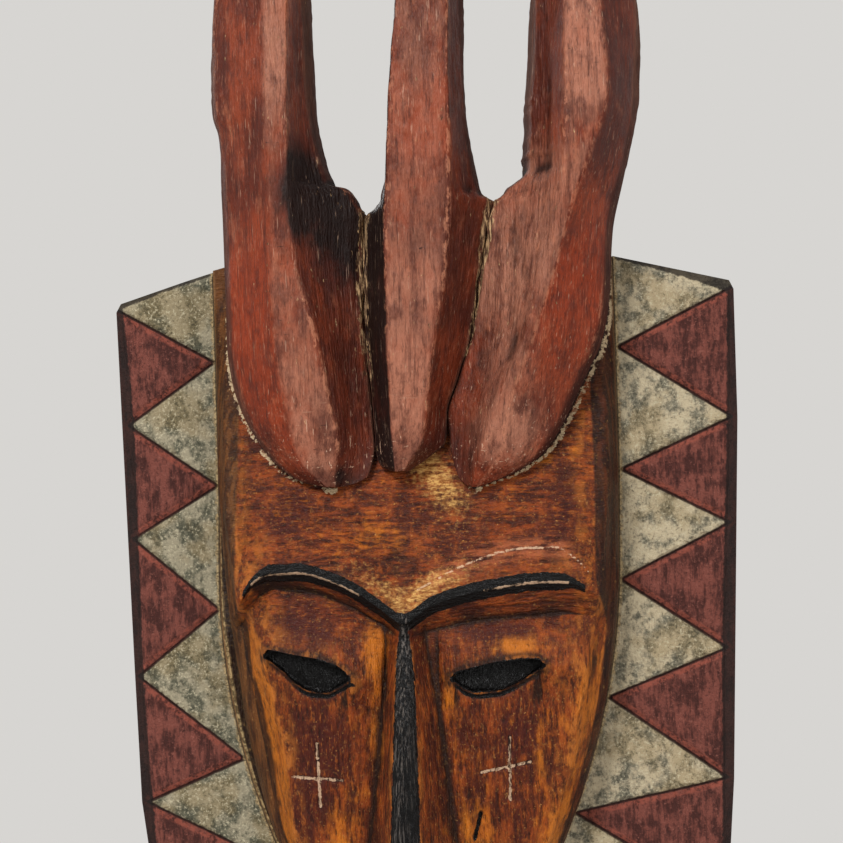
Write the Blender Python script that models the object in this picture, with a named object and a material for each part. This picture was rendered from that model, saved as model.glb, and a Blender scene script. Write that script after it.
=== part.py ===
"""Carved and painted wooden wall mask with three upright horns and two zigzag border boards.

Units are metres. +Z is up the mask, +X is to the right as seen from the front, and the mask looks along -Y.
The flat back lies in the plane y = 0, so a depth is -y.
"""

import bisect
import math

import bmesh
import bpy
from mathutils import Matrix, Vector

# Fit between touching pieces
GAP = 0.0003

# Face block: a long oval that hangs from the forehead, hollowed out behind
FACE_HALF_WIDTH = 0.082
WIDEST_Z = -0.060
CHIN_Z = -0.252
LOWEST_ROW_Z = -0.2475
FACE_TAPER = 0.8  # how bluntly the oval closes towards the chin
AXIS_X = -0.002  # the carving isn't quite true: its axis starts here at AXIS_Z
AXIS_Z = -0.020
AXIS_LEAN = 0.027  # and drifts this much sideways for each metre further down
NOSE_X = -0.0074
BOARD = 0.014  # thickness of the border boards and of the tongue behind the horns

# Depth of the face along its middle, as (z, depth), before the features are added
SEAT_LOW_DEPTH = 0.047
MIDDLE_DEPTH = ((-0.252, 0.022), (-0.246, 0.032), (-0.232, 0.041), (-0.200, 0.046), (-0.150, 0.049),
                (-0.100, 0.050), (-0.050, 0.051), (-0.026, SEAT_LOW_DEPTH))
SIDE_ROUNDING = 0.43
LOW_SQUARENESS = 6  # the front is a rounded box in section, squarer still where the horns lie on it
HIGH_SQUARENESS = 36

# Brows: height of their sharp lower edge at each distance from the nose's middle line
LEFT_BROW = ((-0.066, -0.067), (-0.058, -0.058), (-0.047, -0.055), (-0.034, -0.058), (-0.019, -0.065),
             (0.0, -0.077))
RIGHT_BROW = ((0.0, -0.077), (0.015, -0.0705), (0.030, -0.066), (0.048, -0.0635), (0.070, -0.066))
BROW_SWELL = 0.0065
BROW_REACH = 0.018
SOCKET_DROP = 0.0045
SOCKET_LENGTH = 0.050

# Lidded eyes, as (x, z, slant), and their swelling
EYES = ((-0.044, -0.097, -0.42), (0.029, -0.0985, 0.10))
EYE_SWELL = 0.0060
EYE_HALF_WIDTH = 0.021
EYE_HALF_HEIGHT = 0.0110

# Nose: where it starts and ends, then its height and half-width as (z, value)
NOSE_TOP_Z = -0.076
NOSE_FULL_Z = -0.092
NOSE_TIP_Z = -0.183
NOSE_TIP_SOFTNESS = 0.004
NOSE_HEIGHT = ((NOSE_TIP_Z, 0.027), (-0.160, 0.024), (-0.110, 0.017), (-0.080, 0.008))
NOSE_FOOT = ((NOSE_TIP_Z, 0.021), (-0.165, 0.018), (-0.130, 0.013), (-0.080, 0.008))
NOSE_CAP = 0.15  # share of the half-width that the flat cap of the ridge takes

# Mouth: a swelling that carries two lips, as (distance over the mouth's line, height)
MOUTH_Z = -0.209
MOUTH_HALF_WIDTH = 0.026
MOUTH_SWELL = 0.005
MOUTH_REACH = 0.020
LIPS = ((0.0062, 0.0060), (-0.0065, 0.0066))
LIP_REACH = 0.0052

# Places across the front of the face where its cross-sections have points
NOSE_COLUMNS = (-0.019, -0.014, -0.009, -0.005, -0.0022, 0.0022, 0.005, 0.009, 0.014, 0.019)
SIDE_COLUMNS = 10
SIDE_CROWDING = 1.5
NARROW_HALF_WIDTH = 0.045  # below this half-width the nose's columns draw together
BACK_COLUMNS = 13

# Sloping seat on which the horns lie: from the forehead up to the tongue
SEAT_LOW_Z = -0.026
SEAT_HIGH_Z = 0.055

# Arched top and bottom of the border
ARC_RADIUS = 0.336
TOP_ARC_Z = 0.075
BOTTOM_ARC_Z = -0.240

# Hollow behind the face
HOLLOW_TOP_Z = -0.030
HOLLOW_BEND_Z = -0.068
HOLLOW_BOTTOM_Z = -0.232
HOLLOW_TOP_SLOPE = 0.022
HOLLOW_BOTTOM_SLOPE = 0.030
RIM = 0.017
WALL = 0.016

# Boards: where the straight part of the joint with the face ends, and heights of the outer edges' corners
JOINT_TOP_Z = 0.0625
BOARD_TOP_INNER_Z = 0.060
ROW_CLEARANCE = 0.001  # the lowest row of the joint keeps this far above the bottom edge
BOARD_CORNER_Z = 0.052
BOARD_BOTTOM_X = 0.028
EDGE_ZS = (-0.171, -0.135, -0.100, -0.050, 0.0, 0.030)

# Zigzag grooves on the boards
GROOVE_HALF = 0.0020
GROOVE_DEPTH = 0.0018
GROOVE_CLEARANCE = 0.001  # how far the cutter stands out of the board and past the zigzag's turns

# Pins
DOWEL_RADIUS = 0.0025
DOWEL_HALF = 0.010
DOWEL_ZS = (0.036, -0.048, -0.128)
PEG_RADIUS = 0.0030
DOWEL_CHAMFER = 0.0005
PEG_DEPTH = 0.032
PEG_SET_BACK = 0.0002
PEG_CHAMFER = 0.0004
PEG_PLACES = (
    ("left_horn_peg_lower", -0.052, 0.044), ("left_horn_peg_upper", -0.044, 0.062),
    ("centre_horn_peg_lower", 0.002, 0.047), ("centre_horn_peg_upper", 0.004, 0.065),
    ("right_horn_peg_lower", 0.054, 0.044), ("right_horn_peg_upper", 0.050, 0.062),
)
PIN_SIDES = 12

# Sawtooth hanger let into the back
HANGER_Z = 0.024
HANGER_HALF = 0.024
HANGER_HEIGHT = 0.009
HANGER_THICK = 0.0010
HANGER_END_STEPS = 6
TOOTH_COUNT = 8
TOOTH_HEIGHT = 0.0016
TEETH_HALF = 0.014
BED_SIDE_ROOM = 0.001
BED_HEIGHT_ROOM = 0.002
RECESS_DEPTH = 0.0030
POCKET_HALF = 0.015
POCKET_BELOW = 0.010
POCKET_ABOVE = 0.006
POCKET_DEPTH = 0.0080
CUT_THROUGH = 0.001  # how far a cutter stands out of the surface that it cuts
NAIL_X = 0.0200
NAIL_RADIUS = 0.0008
NAIL_HEAD_RADIUS = 0.0022
NAIL_HEAD_CROWN_RADIUS = 0.0012
NAIL_HEAD_EDGE = 0.0006
NAIL_HEAD_THICK = 0.0009
NAIL_LENGTH = 0.0095
NAIL_POINT = 0.0015
NAIL_POINT_RADIUS = 0.0002
NAIL_BORE_DEPTH = 0.012

# Outer edges of the boards, as (z, x)
LEFT_BOARD_EDGE = ((-0.240, -0.1100), (-0.171, -0.1165), (-0.100, -0.1197), (0.0, -0.1206), (0.060, -0.1245))
RIGHT_BOARD_EDGE = ((-0.240, 0.1150), (-0.171, 0.1190), (-0.100, 0.1210), (0.0, 0.1260), (0.060, 0.1279))

# Heights at which each hand-cut zigzag touches the outer edge and the face in turn, from the top
LEFT_ZIGZAG = (0.050, 0.027, 0.002, -0.024, -0.045, -0.075, -0.102, -0.137, -0.154, -0.183, -0.205)
RIGHT_ZIGZAG = (0.051, 0.028, -0.002, -0.022, -0.045, -0.067, -0.096, -0.115, -0.149, -0.162, -0.200)

# Seams where the horns meet, as (z, x)
LEFT_SEAM = ((-0.008, -0.0168), (0.017, -0.0182), (0.041, -0.0198), (0.069, -0.0206), (0.085, -0.0226))
RIGHT_SEAM = ((-0.008, 0.0128), (0.002, 0.0120), (0.016, 0.0165), (0.032, 0.0218), (0.051, 0.0255),
              (0.071, 0.0293), (0.085, 0.0323))

# Free edges of the horns, as (z, x)
LEFT_HORN_OUTER = ((-0.0245, -0.0370), (-0.022, -0.0465), (-0.015, -0.0560), (-0.005, -0.0635),
                   (0.005, -0.0690), (0.019, -0.0734), (0.034, -0.0753), (0.100, -0.0760),
                   (0.131, -0.0786), (0.169, -0.0767), (0.215, -0.0700), (0.243, -0.0600))
LEFT_HORN_INNER = ((-0.0245, -0.0330), (-0.021, -0.0275), (-0.008, -0.0168), (0.085, -0.0226),
                   (0.094, -0.0270), (0.099, -0.0315), (0.119, -0.0363), (0.140, -0.0378),
                   (0.169, -0.0383), (0.215, -0.0430), (0.243, -0.0520))
RIGHT_HORN_OUTER = ((-0.0260, 0.0245), (-0.022, 0.0358), (-0.015, 0.0477), (-0.005, 0.0558),
                    (0.0065, 0.0620), (0.018, 0.0680), (0.029, 0.0735), (0.045, 0.0771),
                    (0.073, 0.0795), (0.094, 0.0845), (0.124, 0.0913), (0.150, 0.0927), (0.169, 0.0911),
                    (0.215, 0.0865), (0.243, 0.0790))
RIGHT_HORN_INNER = ((-0.0260, 0.0195), (-0.022, 0.0157), (-0.008, 0.0128), (0.085, 0.0323), (0.089, 0.0375),
                    (0.097, 0.0434), (0.115, 0.0456), (0.131, 0.0467), (0.169, 0.0503), (0.215, 0.0600),
                    (0.243, 0.0705))
CENTRE_HORN_LEFT = ((-0.0160, -0.0085), (-0.012, -0.0135), (-0.008, -0.0168), (0.085, -0.0226),
                    (0.089, -0.0130), (0.095, -0.0095), (0.131, -0.0065), (0.169, -0.0030),
                    (0.215, 0.0040), (0.252, 0.0100))
CENTRE_HORN_RIGHT = ((-0.0160, -0.0015), (-0.012, 0.0055), (-0.008, 0.0128), (0.085, 0.0323), (0.089, 0.0287),
                     (0.104, 0.0251), (0.127, 0.0230), (0.169, 0.0228), (0.215, 0.0215), (0.252, 0.0175))

# Edges of the narrow front facet that runs up each horn, as (z, x)
LEFT_RIDGE = (((-0.0245, -0.0362), (-0.006, -0.0350), (0.0095, -0.0375), (0.036, -0.0440), (0.064, -0.0505),
               (0.094, -0.0525), (0.125, -0.0535), (0.169, -0.0525), (0.215, -0.0560), (0.243, -0.0570)),
              ((-0.0245, -0.0340), (-0.006, -0.0300), (0.0095, -0.0325), (0.036, -0.0375), (0.064, -0.0440),
               (0.094, -0.0455), (0.125, -0.0450), (0.169, -0.0440), (0.215, -0.0500), (0.243, -0.0545)))
CENTRE_RIDGE = (((-0.016, -0.0065), (-0.008, -0.0090), (0.035, -0.0095), (0.066, -0.0095), (0.094, -0.0080),
                 (0.131, -0.0055), (0.169, -0.0020), (0.215, 0.0050), (0.252, 0.0110)),
                ((-0.016, -0.0035), (-0.008, 0.0030), (0.016, 0.0065), (0.035, 0.0094), (0.053, 0.0129),
                 (0.094, 0.0162), (0.169, 0.0175), (0.215, 0.0175), (0.252, 0.0160)))
RIGHT_RIDGE = (((-0.026, 0.0210), (0.000, 0.0290), (0.030, 0.0430), (0.060, 0.0530), (0.094, 0.0600),
                (0.125, 0.0612), (0.169, 0.0625), (0.215, 0.0680), (0.243, 0.0725)),
               ((-0.026, 0.0230), (0.000, 0.0380), (0.030, 0.0530), (0.060, 0.0620), (0.094, 0.0720),
                (0.125, 0.0775), (0.169, 0.0755), (0.215, 0.0760), (0.243, 0.0760)))

# Depths of the horns, as (z, depth): along the ridge, at the free edges and at the back
HORN_RIDGE_DEPTH = ((-0.026, 0.0530), (-0.015, 0.0590), (0.000, 0.0630), (0.040, 0.0660), (0.100, 0.0660),
                    (0.169, 0.0620), (0.215, 0.0550), (0.252, 0.0430))
HORN_EDGE_DEPTH = ((-0.026, 0.0500), (0.000, 0.0480), (0.040, 0.0440), (0.169, 0.0420), (0.252, 0.0370))
HORN_SEAM_DEPTH = ((-0.026, 0.0500), (0.000, 0.0440), (0.040, 0.0420), (0.169, 0.0440), (0.252, 0.0370))
HORN_BACK_DEPTH = ((0.075, BOARD + GAP), (0.110, 0.0170), (0.169, 0.0200), (0.215, 0.0250), (0.252, 0.0330))

# Section of a horn, as shares of its width and of the height of its sides
HORN_BACK_INSET = 0.04
HORN_EDGE_INSET = 0.06
HORN_SIDE_LOW = 0.35
HORN_SIDE_HIGH = 0.80
HORN_EDGE_RISE = 0.20
HORN_LEAST_SIDE = 0.002
HORN_LEAST_HEIGHT = 0.004
HORN_FRONT_TILT = 0.001

# Levels at which the horns have cross-sections: their toes, their seams and their free tops
LEFT_TOE_ROWS = (-0.0245, -0.022, -0.0185, -0.015, -0.012)
RIGHT_TOE_ROWS = (-0.0260, -0.024, -0.022, -0.0185, -0.015, -0.012)
CENTRE_TOE_ROWS = (-0.0160, -0.014, -0.012)
SEAM_ROWS = (-0.008, 0.002, 0.009, 0.016, 0.024, 0.032, 0.041, 0.051, 0.055, 0.062, 0.071, 0.078, 0.085)
TALL_ROWS = (0.089, 0.094, 0.099, 0.107, 0.116, 0.131, 0.150, 0.169, 0.192, 0.215, 0.230, 0.243)
CENTRE_TIP_ROW = (0.252,)

# Angles over which shading breaks into an edge
CARVED_EDGE = 0.5
SOFT_EDGE = 0.6


def clear_scene():
    for obj in list(bpy.data.objects):
        bpy.data.objects.remove(obj, do_unlink=True)


def through(knots, at):
    """Smooth curve through (position, value) knots that never overshoots between two of them."""
    places = [place for place, _ in knots]
    if at <= places[0]:
        return knots[0][1]
    if at >= places[-1]:
        return knots[-1][1]
    i = bisect.bisect_right(places, at) - 1
    slopes = []
    for k in (i - 1, i, i + 1):
        if 0 <= k < len(knots) - 1:
            slopes.append((knots[k + 1][1] - knots[k][1]) / (knots[k + 1][0] - knots[k][0]))
        else:
            slopes.append(None)
    before, here, after = slopes

    def tangent(one, other):
        if one is None or other is None:
            return here
        if one * other <= 0:
            return 0.0
        return 2 * one * other / (one + other)

    start, end = tangent(before, here), tangent(here, after)
    span = places[i + 1] - places[i]
    t = (at - places[i]) / span
    low, high = knots[i][1], knots[i + 1][1]
    return (low * (2 * t**3 - 3 * t**2 + 1) + high * (3 * t**2 - 2 * t**3)
            + span * start * (t**3 - 2 * t**2 + t) + span * end * (t**3 - t**2))


def step(low, high, at):
    """Rises smoothly from 0 at low to 1 at high."""
    t = min(max((at - low) / (high - low), 0.0), 1.0)
    return t * t * (3 - 2 * t)


def bump(distance, reach):
    return math.exp(-((distance / reach) ** 2))


# Face ------------------------------------------------------------------------------------------


def face_axis(z):
    return AXIS_X + AXIS_LEAN * min(z - AXIS_Z, 0.0)


def face_half_width(z):
    drop = min(max((WIDEST_Z - z) / (WIDEST_Z - CHIN_Z), 0.0), 1.0)
    return FACE_HALF_WIDTH * (1 - drop**2) ** FACE_TAPER


def arc_reach(z):
    """How far to each side the top arch reaches at this height."""
    drop = TOP_ARC_Z - z
    return math.sqrt(max(ARC_RADIUS**2 - (ARC_RADIUS - drop) ** 2, 0.0))


def seat_depth(z):
    share = min(max((z - SEAT_LOW_Z) / (SEAT_HIGH_Z - SEAT_LOW_Z), 0.0), 1.0)
    return SEAT_LOW_DEPTH + share * (BOARD - SEAT_LOW_DEPTH)


def brow_line(x):
    """Height of the sharp lower edge of the brows: two arches that meet in a V over the nose."""
    side = x - NOSE_X
    return through(LEFT_BROW if side < 0 else RIGHT_BROW, side)


def brow_relief(x, z):
    """The forehead swells towards the brows and drops under them into the eye sockets."""
    above = z - brow_line(x)
    aside = abs(x - face_axis(z)) / face_half_width(z)
    within = 1 - step(0.78, 0.96, aside)
    swell = bump(above, BROW_REACH) if above > 0 else 1 - step(0.0, 0.005, -above)
    socket = step(0.0, 0.007, -above) * (1 - step(BROW_REACH, SOCKET_LENGTH, -above))
    return within * (BROW_SWELL * swell - SOCKET_DROP * socket)


def eye_relief(x, z):
    """Two long lidded eyes that slant down to the nose."""
    relief = 0.0
    for centre_x, centre_z, slant in EYES:
        across = (x - centre_x) * math.cos(slant) + (z - centre_z) * math.sin(slant)
        along = -(x - centre_x) * math.sin(slant) + (z - centre_z) * math.cos(slant)
        relief += EYE_SWELL * math.exp(-((across / EYE_HALF_WIDTH) ** 4) - (along / EYE_HALF_HEIGHT) ** 2)
    return relief


def nose_relief(x, z):
    """A long straight ridge that starts under the brows and flares at the nostrils."""
    start = step(NOSE_TOP_Z, NOSE_FULL_Z, z)
    end = step(NOSE_TIP_Z - NOSE_TIP_SOFTNESS, NOSE_TIP_Z + NOSE_TIP_SOFTNESS, z)
    aside = abs(x - NOSE_X) / through(NOSE_FOOT, z)
    return through(NOSE_HEIGHT, z) * start * end * (1 - step(NOSE_CAP, 1.0, aside))


def mouth_relief(x, z):
    """Closed full lips on a slight swelling."""
    aside = (x - NOSE_X) / MOUTH_HALF_WIDTH
    lips = 0.0
    for over, height in LIPS:
        lips += height * bump(z - MOUTH_Z - over, LIP_REACH)
    return (MOUTH_SWELL * bump(z - MOUTH_Z, MOUTH_REACH) + lips) * math.exp(-(aside**4))


def face_depth(x, z):
    """Depth of the carved front over the flat back."""
    if z >= SEAT_HIGH_Z:
        return BOARD
    aside = min(abs(x - face_axis(z)) / face_half_width(z), 1.0)
    middle = seat_depth(z) if z >= SEAT_LOW_Z else through(MIDDLE_DEPTH, z)
    squareness = LOW_SQUARENESS + (HIGH_SQUARENESS - LOW_SQUARENESS) * step(-0.034, SEAT_LOW_Z, z)
    fullness = (1 - aside**squareness) ** SIDE_ROUNDING
    relief = 0.0
    if z < SEAT_LOW_Z:
        relief = brow_relief(x, z) + eye_relief(x, z) + nose_relief(x, z) + mouth_relief(x, z)
        relief *= fullness
    return BOARD + (middle - BOARD) * fullness + relief


def hollow_reach(z):
    """Half-width of the hollow's mouth: a rim's width inside the face, with a rounded top."""
    half = face_half_width(z)
    rise = min(max((z - HOLLOW_BEND_Z) / (HOLLOW_TOP_Z - HOLLOW_BEND_Z), 0.0), 1.0)
    return max((half - RIM) * math.sqrt(1 - rise**2), 0.15 * half)


def hollow_depth(aside, z):
    """Depth of the hollow, aside being 0 on its middle line and 1 at its mouth's edge."""
    top = step(HOLLOW_TOP_Z, HOLLOW_TOP_Z - HOLLOW_TOP_SLOPE, z)
    bottom = step(HOLLOW_BOTTOM_Z, HOLLOW_BOTTOM_Z + HOLLOW_BOTTOM_SLOPE, z)
    return (through(MIDDLE_DEPTH, z) - WALL) * top * bottom * math.sqrt(1 - abs(aside) ** 3)


def face_rows():
    """Levels of the cross-sections, closer together where the carving is busy."""
    rows = [LOWEST_ROW_Z, -0.242, -0.236, -0.229, -0.222]
    rows += [MOUTH_Z + k * 0.0038 for k in range(-2, 5)]
    rows += [-0.1885, -0.1855, NOSE_TIP_Z + 0.0015, -0.176, -0.168, -0.158, -0.147, -0.136, -0.126, -0.118]
    rows += [-0.112 + k * 0.0045 for k in range(0, 15)]
    rows += [-0.042, -0.036, -0.032, SEAT_LOW_Z, 0.0, 0.030, SEAT_HIGH_Z]
    rows += [0.0625, 0.067, 0.0705, 0.073, 0.0745]
    return sorted(rows)


def spread(count, crowding):
    """Numbers from -1 to 1, crowded towards both ends."""
    places = []
    for k in range(count):
        t = 2 * k / (count - 1) - 1
        places.append((1 - crowding) * t + crowding * math.sin(t * math.pi / 2))
    return places


def front_columns(middle, half):
    """Places across the front: even steps over the nose, then closer and closer to each side."""
    scale = min(1.0, half / NARROW_HALF_WIDTH)
    nose = [middle + (NOSE_X - middle) * scale + offset * scale for offset in NOSE_COLUMNS]
    shares = [(k / SIDE_COLUMNS) ** SIDE_CROWDING for k in range(SIDE_COLUMNS)]
    left = [middle - half + (nose[0] - middle + half) * share for share in shares]
    right = [middle + half + (nose[-1] - middle - half) * share for share in shares]
    return left + nose + right[::-1]


def loft(sections):
    """Closed body from cross-sections with the same number of points each."""
    shape = bmesh.new()
    rings = [[shape.verts.new(point) for point in section] for section in sections]
    count = len(rings[0])
    for lower, upper in zip(rings, rings[1:]):
        for k in range(count):
            follow = (k + 1) % count
            shape.faces.new((lower[k], lower[follow], upper[follow], upper[k]))
    shape.faces.new(list(reversed(rings[0])))
    shape.faces.new(rings[-1])
    bmesh.ops.recalc_face_normals(shape, faces=shape.faces)
    return shape


def object_from(shape, name, material, smooth_angle=None):
    mesh = bpy.data.meshes.new(name)
    shape.to_mesh(mesh)
    shape.free()
    mesh.materials.append(material)
    obj = bpy.data.objects.new(name, mesh)
    bpy.context.scene.collection.objects.link(obj)
    if smooth_angle is not None:
        mesh.shade_smooth()
        mesh.set_sharp_from_angle(angle=smooth_angle)
    return obj


def face_section(z):
    half = face_half_width(z)
    if z > SEAT_HIGH_Z:
        half = min(half, arc_reach(z))
    middle = face_axis(z)
    points = [(x, -max(face_depth(x, z), BOARD), z) for x in front_columns(middle, half)]
    points.append((middle + half, 0.0, z))
    reach = min(hollow_reach(z), 0.8 * half)
    for aside in reversed(spread(BACK_COLUMNS, 0.5)):
        points.append((middle + aside * reach, -hollow_depth(aside, z), z))
    points.append((middle - half, 0.0, z))
    return points


def make_face_shell(material):
    return object_from(loft([face_section(z) for z in face_rows()]), "face_shell", material, SOFT_EDGE)


# Boards ----------------------------------------------------------------------------------------


def board_outline(side):
    """Corners of one board, seen from the front: down the face, along the bottom, up and over the top."""
    edge = LEFT_BOARD_EDGE if side < 0 else RIGHT_BOARD_EDGE
    points = []
    for z in reversed(face_rows()):
        if BOTTOM_ARC_Z + ROW_CLEARANCE < z <= JOINT_TOP_Z:
            points.append((face_axis(z) + side * (face_half_width(z) + GAP), z))
    start, corner = side * BOARD_BOTTOM_X, through(edge, BOTTOM_ARC_Z)
    for k in range(7):
        x = start + (corner - start) * k / 6
        points.append((x, BOTTOM_ARC_Z + ARC_RADIUS - math.sqrt(ARC_RADIUS**2 - x**2)))
    for z in EDGE_ZS:
        points.append((through(edge, z), z))
    corner = through(edge, BOARD_CORNER_Z)
    inner = face_axis(BOARD_TOP_INNER_Z) + side * (FACE_HALF_WIDTH + GAP)
    for k in range(5):
        x = corner + (inner - corner) * k / 4
        points.append((x, TOP_ARC_Z - ARC_RADIUS + math.sqrt(ARC_RADIUS**2 - x**2)))
    return points


def prism(outline, front, back):
    """Flat body of this outline in x and z, between two depths."""
    shape = bmesh.new()
    near = [shape.verts.new((x, -front, z)) for x, z in outline]
    far = [shape.verts.new((x, -back, z)) for x, z in outline]
    shape.faces.new(near)
    shape.faces.new(list(reversed(far)))
    count = len(outline)
    for k in range(count):
        follow = (k + 1) % count
        shape.faces.new((near[k], far[k], far[follow], near[follow]))
    bmesh.ops.recalc_face_normals(shape, faces=shape.faces)
    return shape


def zigzag_path(side):
    edge = LEFT_BOARD_EDGE if side < 0 else RIGHT_BOARD_EDGE
    path = []
    for k, z in enumerate(LEFT_ZIGZAG if side < 0 else RIGHT_ZIGZAG):
        if k % 2 == 0:
            path.append(Vector((through(edge, z) + side * GROOVE_CLEARANCE, z)))
        else:
            path.append(Vector((face_axis(z) + side * (face_half_width(z) + GROOVE_CLEARANCE), z)))
    return path


def groove_cutter(path):
    """V-shaped bar along a zigzag, mitred at its corners."""
    half = GROOVE_HALF * (GROOVE_DEPTH + GROOVE_CLEARANCE) / GROOVE_DEPTH
    sections = []
    for k, point in enumerate(path):
        before = (point - path[k - 1]).normalized() if k > 0 else None
        after = (path[k + 1] - point).normalized() if k + 1 < len(path) else None
        along = before or after
        other = after or before
        normal = Vector((-along.y, along.x)) + Vector((-other.y, other.x))
        normal.normalize()
        stretch = half / max(normal.dot(Vector((-along.y, along.x))), 0.3)
        one, two = point + normal * stretch, point - normal * stretch
        outside = -BOARD - GROOVE_CLEARANCE
        sections.append([(one.x, outside, one.y), (two.x, outside, two.y),
                         (point.x, -BOARD + GROOVE_DEPTH, point.y)])
    return loft(sections)


def make_board(side, material):
    name = "left_border_board" if side < 0 else "right_border_board"
    board = object_from(prism(board_outline(side), BOARD, 0.0), name, material)
    groove = cutter(groove_cutter(zigzag_path(side)), name + "_grooves")
    cut(board, groove)
    return board


# Horns -----------------------------------------------------------------------------------------


def horn_back(z):
    if z <= SEAT_HIGH_Z:
        return seat_depth(z) + GAP
    return through(HORN_BACK_DEPTH, z)


def horn_section(z, low_x, high_x, ridge, low_depth, high_depth):
    """Faceted section: rounded sides, one slanting facet to each side of a narrow flat ridge."""
    back = horn_back(z)
    width = high_x - low_x
    top = max(through(HORN_RIDGE_DEPTH, z), back + HORN_LEAST_HEIGHT)
    low_depth = max(low_depth, back + HORN_LEAST_SIDE)
    high_depth = max(high_depth, back + HORN_LEAST_SIDE)
    low_side, high_side = low_depth - back, high_depth - back
    ridge_low, ridge_high = [through(line, z) for line in ridge]
    corners = (
        (low_x + HORN_BACK_INSET * width, back),
        (low_x, back + HORN_SIDE_LOW * low_side),
        (low_x, back + HORN_SIDE_HIGH * low_side),
        (low_x + HORN_EDGE_INSET * width, low_depth + HORN_EDGE_RISE * (top - low_depth)),
        (ridge_low, top),
        (ridge_high, top - HORN_FRONT_TILT),
        (high_x - HORN_EDGE_INSET * width, high_depth + HORN_EDGE_RISE * (top - high_depth)),
        (high_x, back + HORN_SIDE_HIGH * high_side),
        (high_x, back + HORN_SIDE_LOW * high_side),
        (high_x - HORN_BACK_INSET * width, back),
    )
    return [(x, -depth, z) for x, depth in corners]


def make_left_horn(material):
    sections = []
    for z in LEFT_TOE_ROWS + SEAM_ROWS + TALL_ROWS:
        seam = SEAM_ROWS[0] <= z <= SEAM_ROWS[-1]
        low = through(LEFT_HORN_OUTER, z)
        high = through(LEFT_SEAM, z) - GAP / 2 if seam else through(LEFT_HORN_INNER, z)
        outer, inner = through(HORN_EDGE_DEPTH, z), through(HORN_SEAM_DEPTH, z)
        sections.append(horn_section(z, low, high, LEFT_RIDGE, outer, inner))
    return object_from(loft(sections), "left_horn", material, CARVED_EDGE)


def make_right_horn(material):
    sections = []
    for z in RIGHT_TOE_ROWS + SEAM_ROWS + TALL_ROWS:
        seam = SEAM_ROWS[0] <= z <= SEAM_ROWS[-1]
        low = through(RIGHT_SEAM, z) + GAP / 2 if seam else through(RIGHT_HORN_INNER, z)
        high = through(RIGHT_HORN_OUTER, z)
        outer, inner = through(HORN_EDGE_DEPTH, z), through(HORN_SEAM_DEPTH, z)
        sections.append(horn_section(z, low, high, RIGHT_RIDGE, inner, outer))
    return object_from(loft(sections), "right_horn", material, CARVED_EDGE)


def make_centre_horn(material):
    sections = []
    for z in CENTRE_TOE_ROWS + SEAM_ROWS + TALL_ROWS + CENTRE_TIP_ROW:
        seam = SEAM_ROWS[0] <= z <= SEAM_ROWS[-1]
        low = through(LEFT_SEAM, z) + GAP / 2 if seam else through(CENTRE_HORN_LEFT, z)
        high = through(RIGHT_SEAM, z) - GAP / 2 if seam else through(CENTRE_HORN_RIGHT, z)
        edge = through(HORN_SEAM_DEPTH, z)
        sections.append(horn_section(z, low, high, CENTRE_RIDGE, edge, edge))
    return object_from(loft(sections), "centre_horn", material, CARVED_EDGE)


# Pins, hanger and the holes that take them --------------------------------------------------------


def cutter(shape, name):
    mesh = bpy.data.meshes.new(name)
    shape.to_mesh(mesh)
    shape.free()
    obj = bpy.data.objects.new(name, mesh)
    obj.hide_render = True
    obj.display_type = "WIRE"
    bpy.context.scene.collection.objects.link(obj)
    return obj


def cut(obj, tool):
    modifier = obj.modifiers.new("cut_" + tool.name, "BOOLEAN")
    modifier.operation = "DIFFERENCE"
    modifier.solver = "EXACT"
    modifier.object = tool


def add_rod(shape, start, end, radius, chamfer=0.0):
    """Adds a straight round bar between two points to a shape, its ends chamfered if asked."""
    start, end = Vector(start), Vector(end)
    along = (end - start).normalized()
    turn = along.to_track_quat("Z", "Y").to_matrix()
    stations = [(start, radius), (end, radius)]
    if chamfer:
        stations = [(start, radius - chamfer), (start + along * chamfer, radius),
                    (end - along * chamfer, radius), (end, radius - chamfer)]
    rings = []
    for centre, size in stations:
        ring = []
        for k in range(PIN_SIDES):
            angle = 2 * math.pi * (k + 0.5) / PIN_SIDES
            spoke = Vector((size * math.cos(angle), size * math.sin(angle), 0))
            ring.append(shape.verts.new(centre + turn @ spoke))
        rings.append(ring)
    for lower, upper in zip(rings, rings[1:]):
        for k in range(PIN_SIDES):
            follow = (k + 1) % PIN_SIDES
            shape.faces.new((lower[k], lower[follow], upper[follow], upper[k]))
    shape.faces.new(list(reversed(rings[0])))
    shape.faces.new(rings[-1])


def add_block(shape, low, high):
    middle = [(a + b) / 2 for a, b in zip(low, high)]
    size = [b - a for a, b in zip(low, high)]
    place = Matrix.Translation(middle) @ Matrix.Diagonal((*size, 1.0))
    bmesh.ops.create_cube(shape, size=1.0, matrix=place)


def dowel_places():
    """Centres of the hidden dowels across the joint between face and boards."""
    places = []
    for side, word in ((-1, "left"), (1, "right")):
        for number, z in enumerate(DOWEL_ZS, 1):
            x = face_axis(z) + side * face_half_width(z)
            places.append((f"{word}_board_dowel_{number}", side, Vector((x, -BOARD / 2, z))))
    return places


def make_dowels(material):
    for name, _, centre in dowel_places():
        shape = bmesh.new()
        reach = Vector((DOWEL_HALF, 0, 0))
        add_rod(shape, centre - reach, centre + reach, DOWEL_RADIUS, DOWEL_CHAMFER)
        object_from(shape, name, material, SOFT_EDGE)


def make_pegs(material):
    """Pegs that hold the horns; their ends show on the back."""
    for name, x, z in PEG_PLACES:
        shape = bmesh.new()
        add_rod(shape, (x, -PEG_DEPTH, z), (x, -PEG_SET_BACK, z), PEG_RADIUS, PEG_CHAMFER)
        object_from(shape, name, material, SOFT_EDGE)


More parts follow.
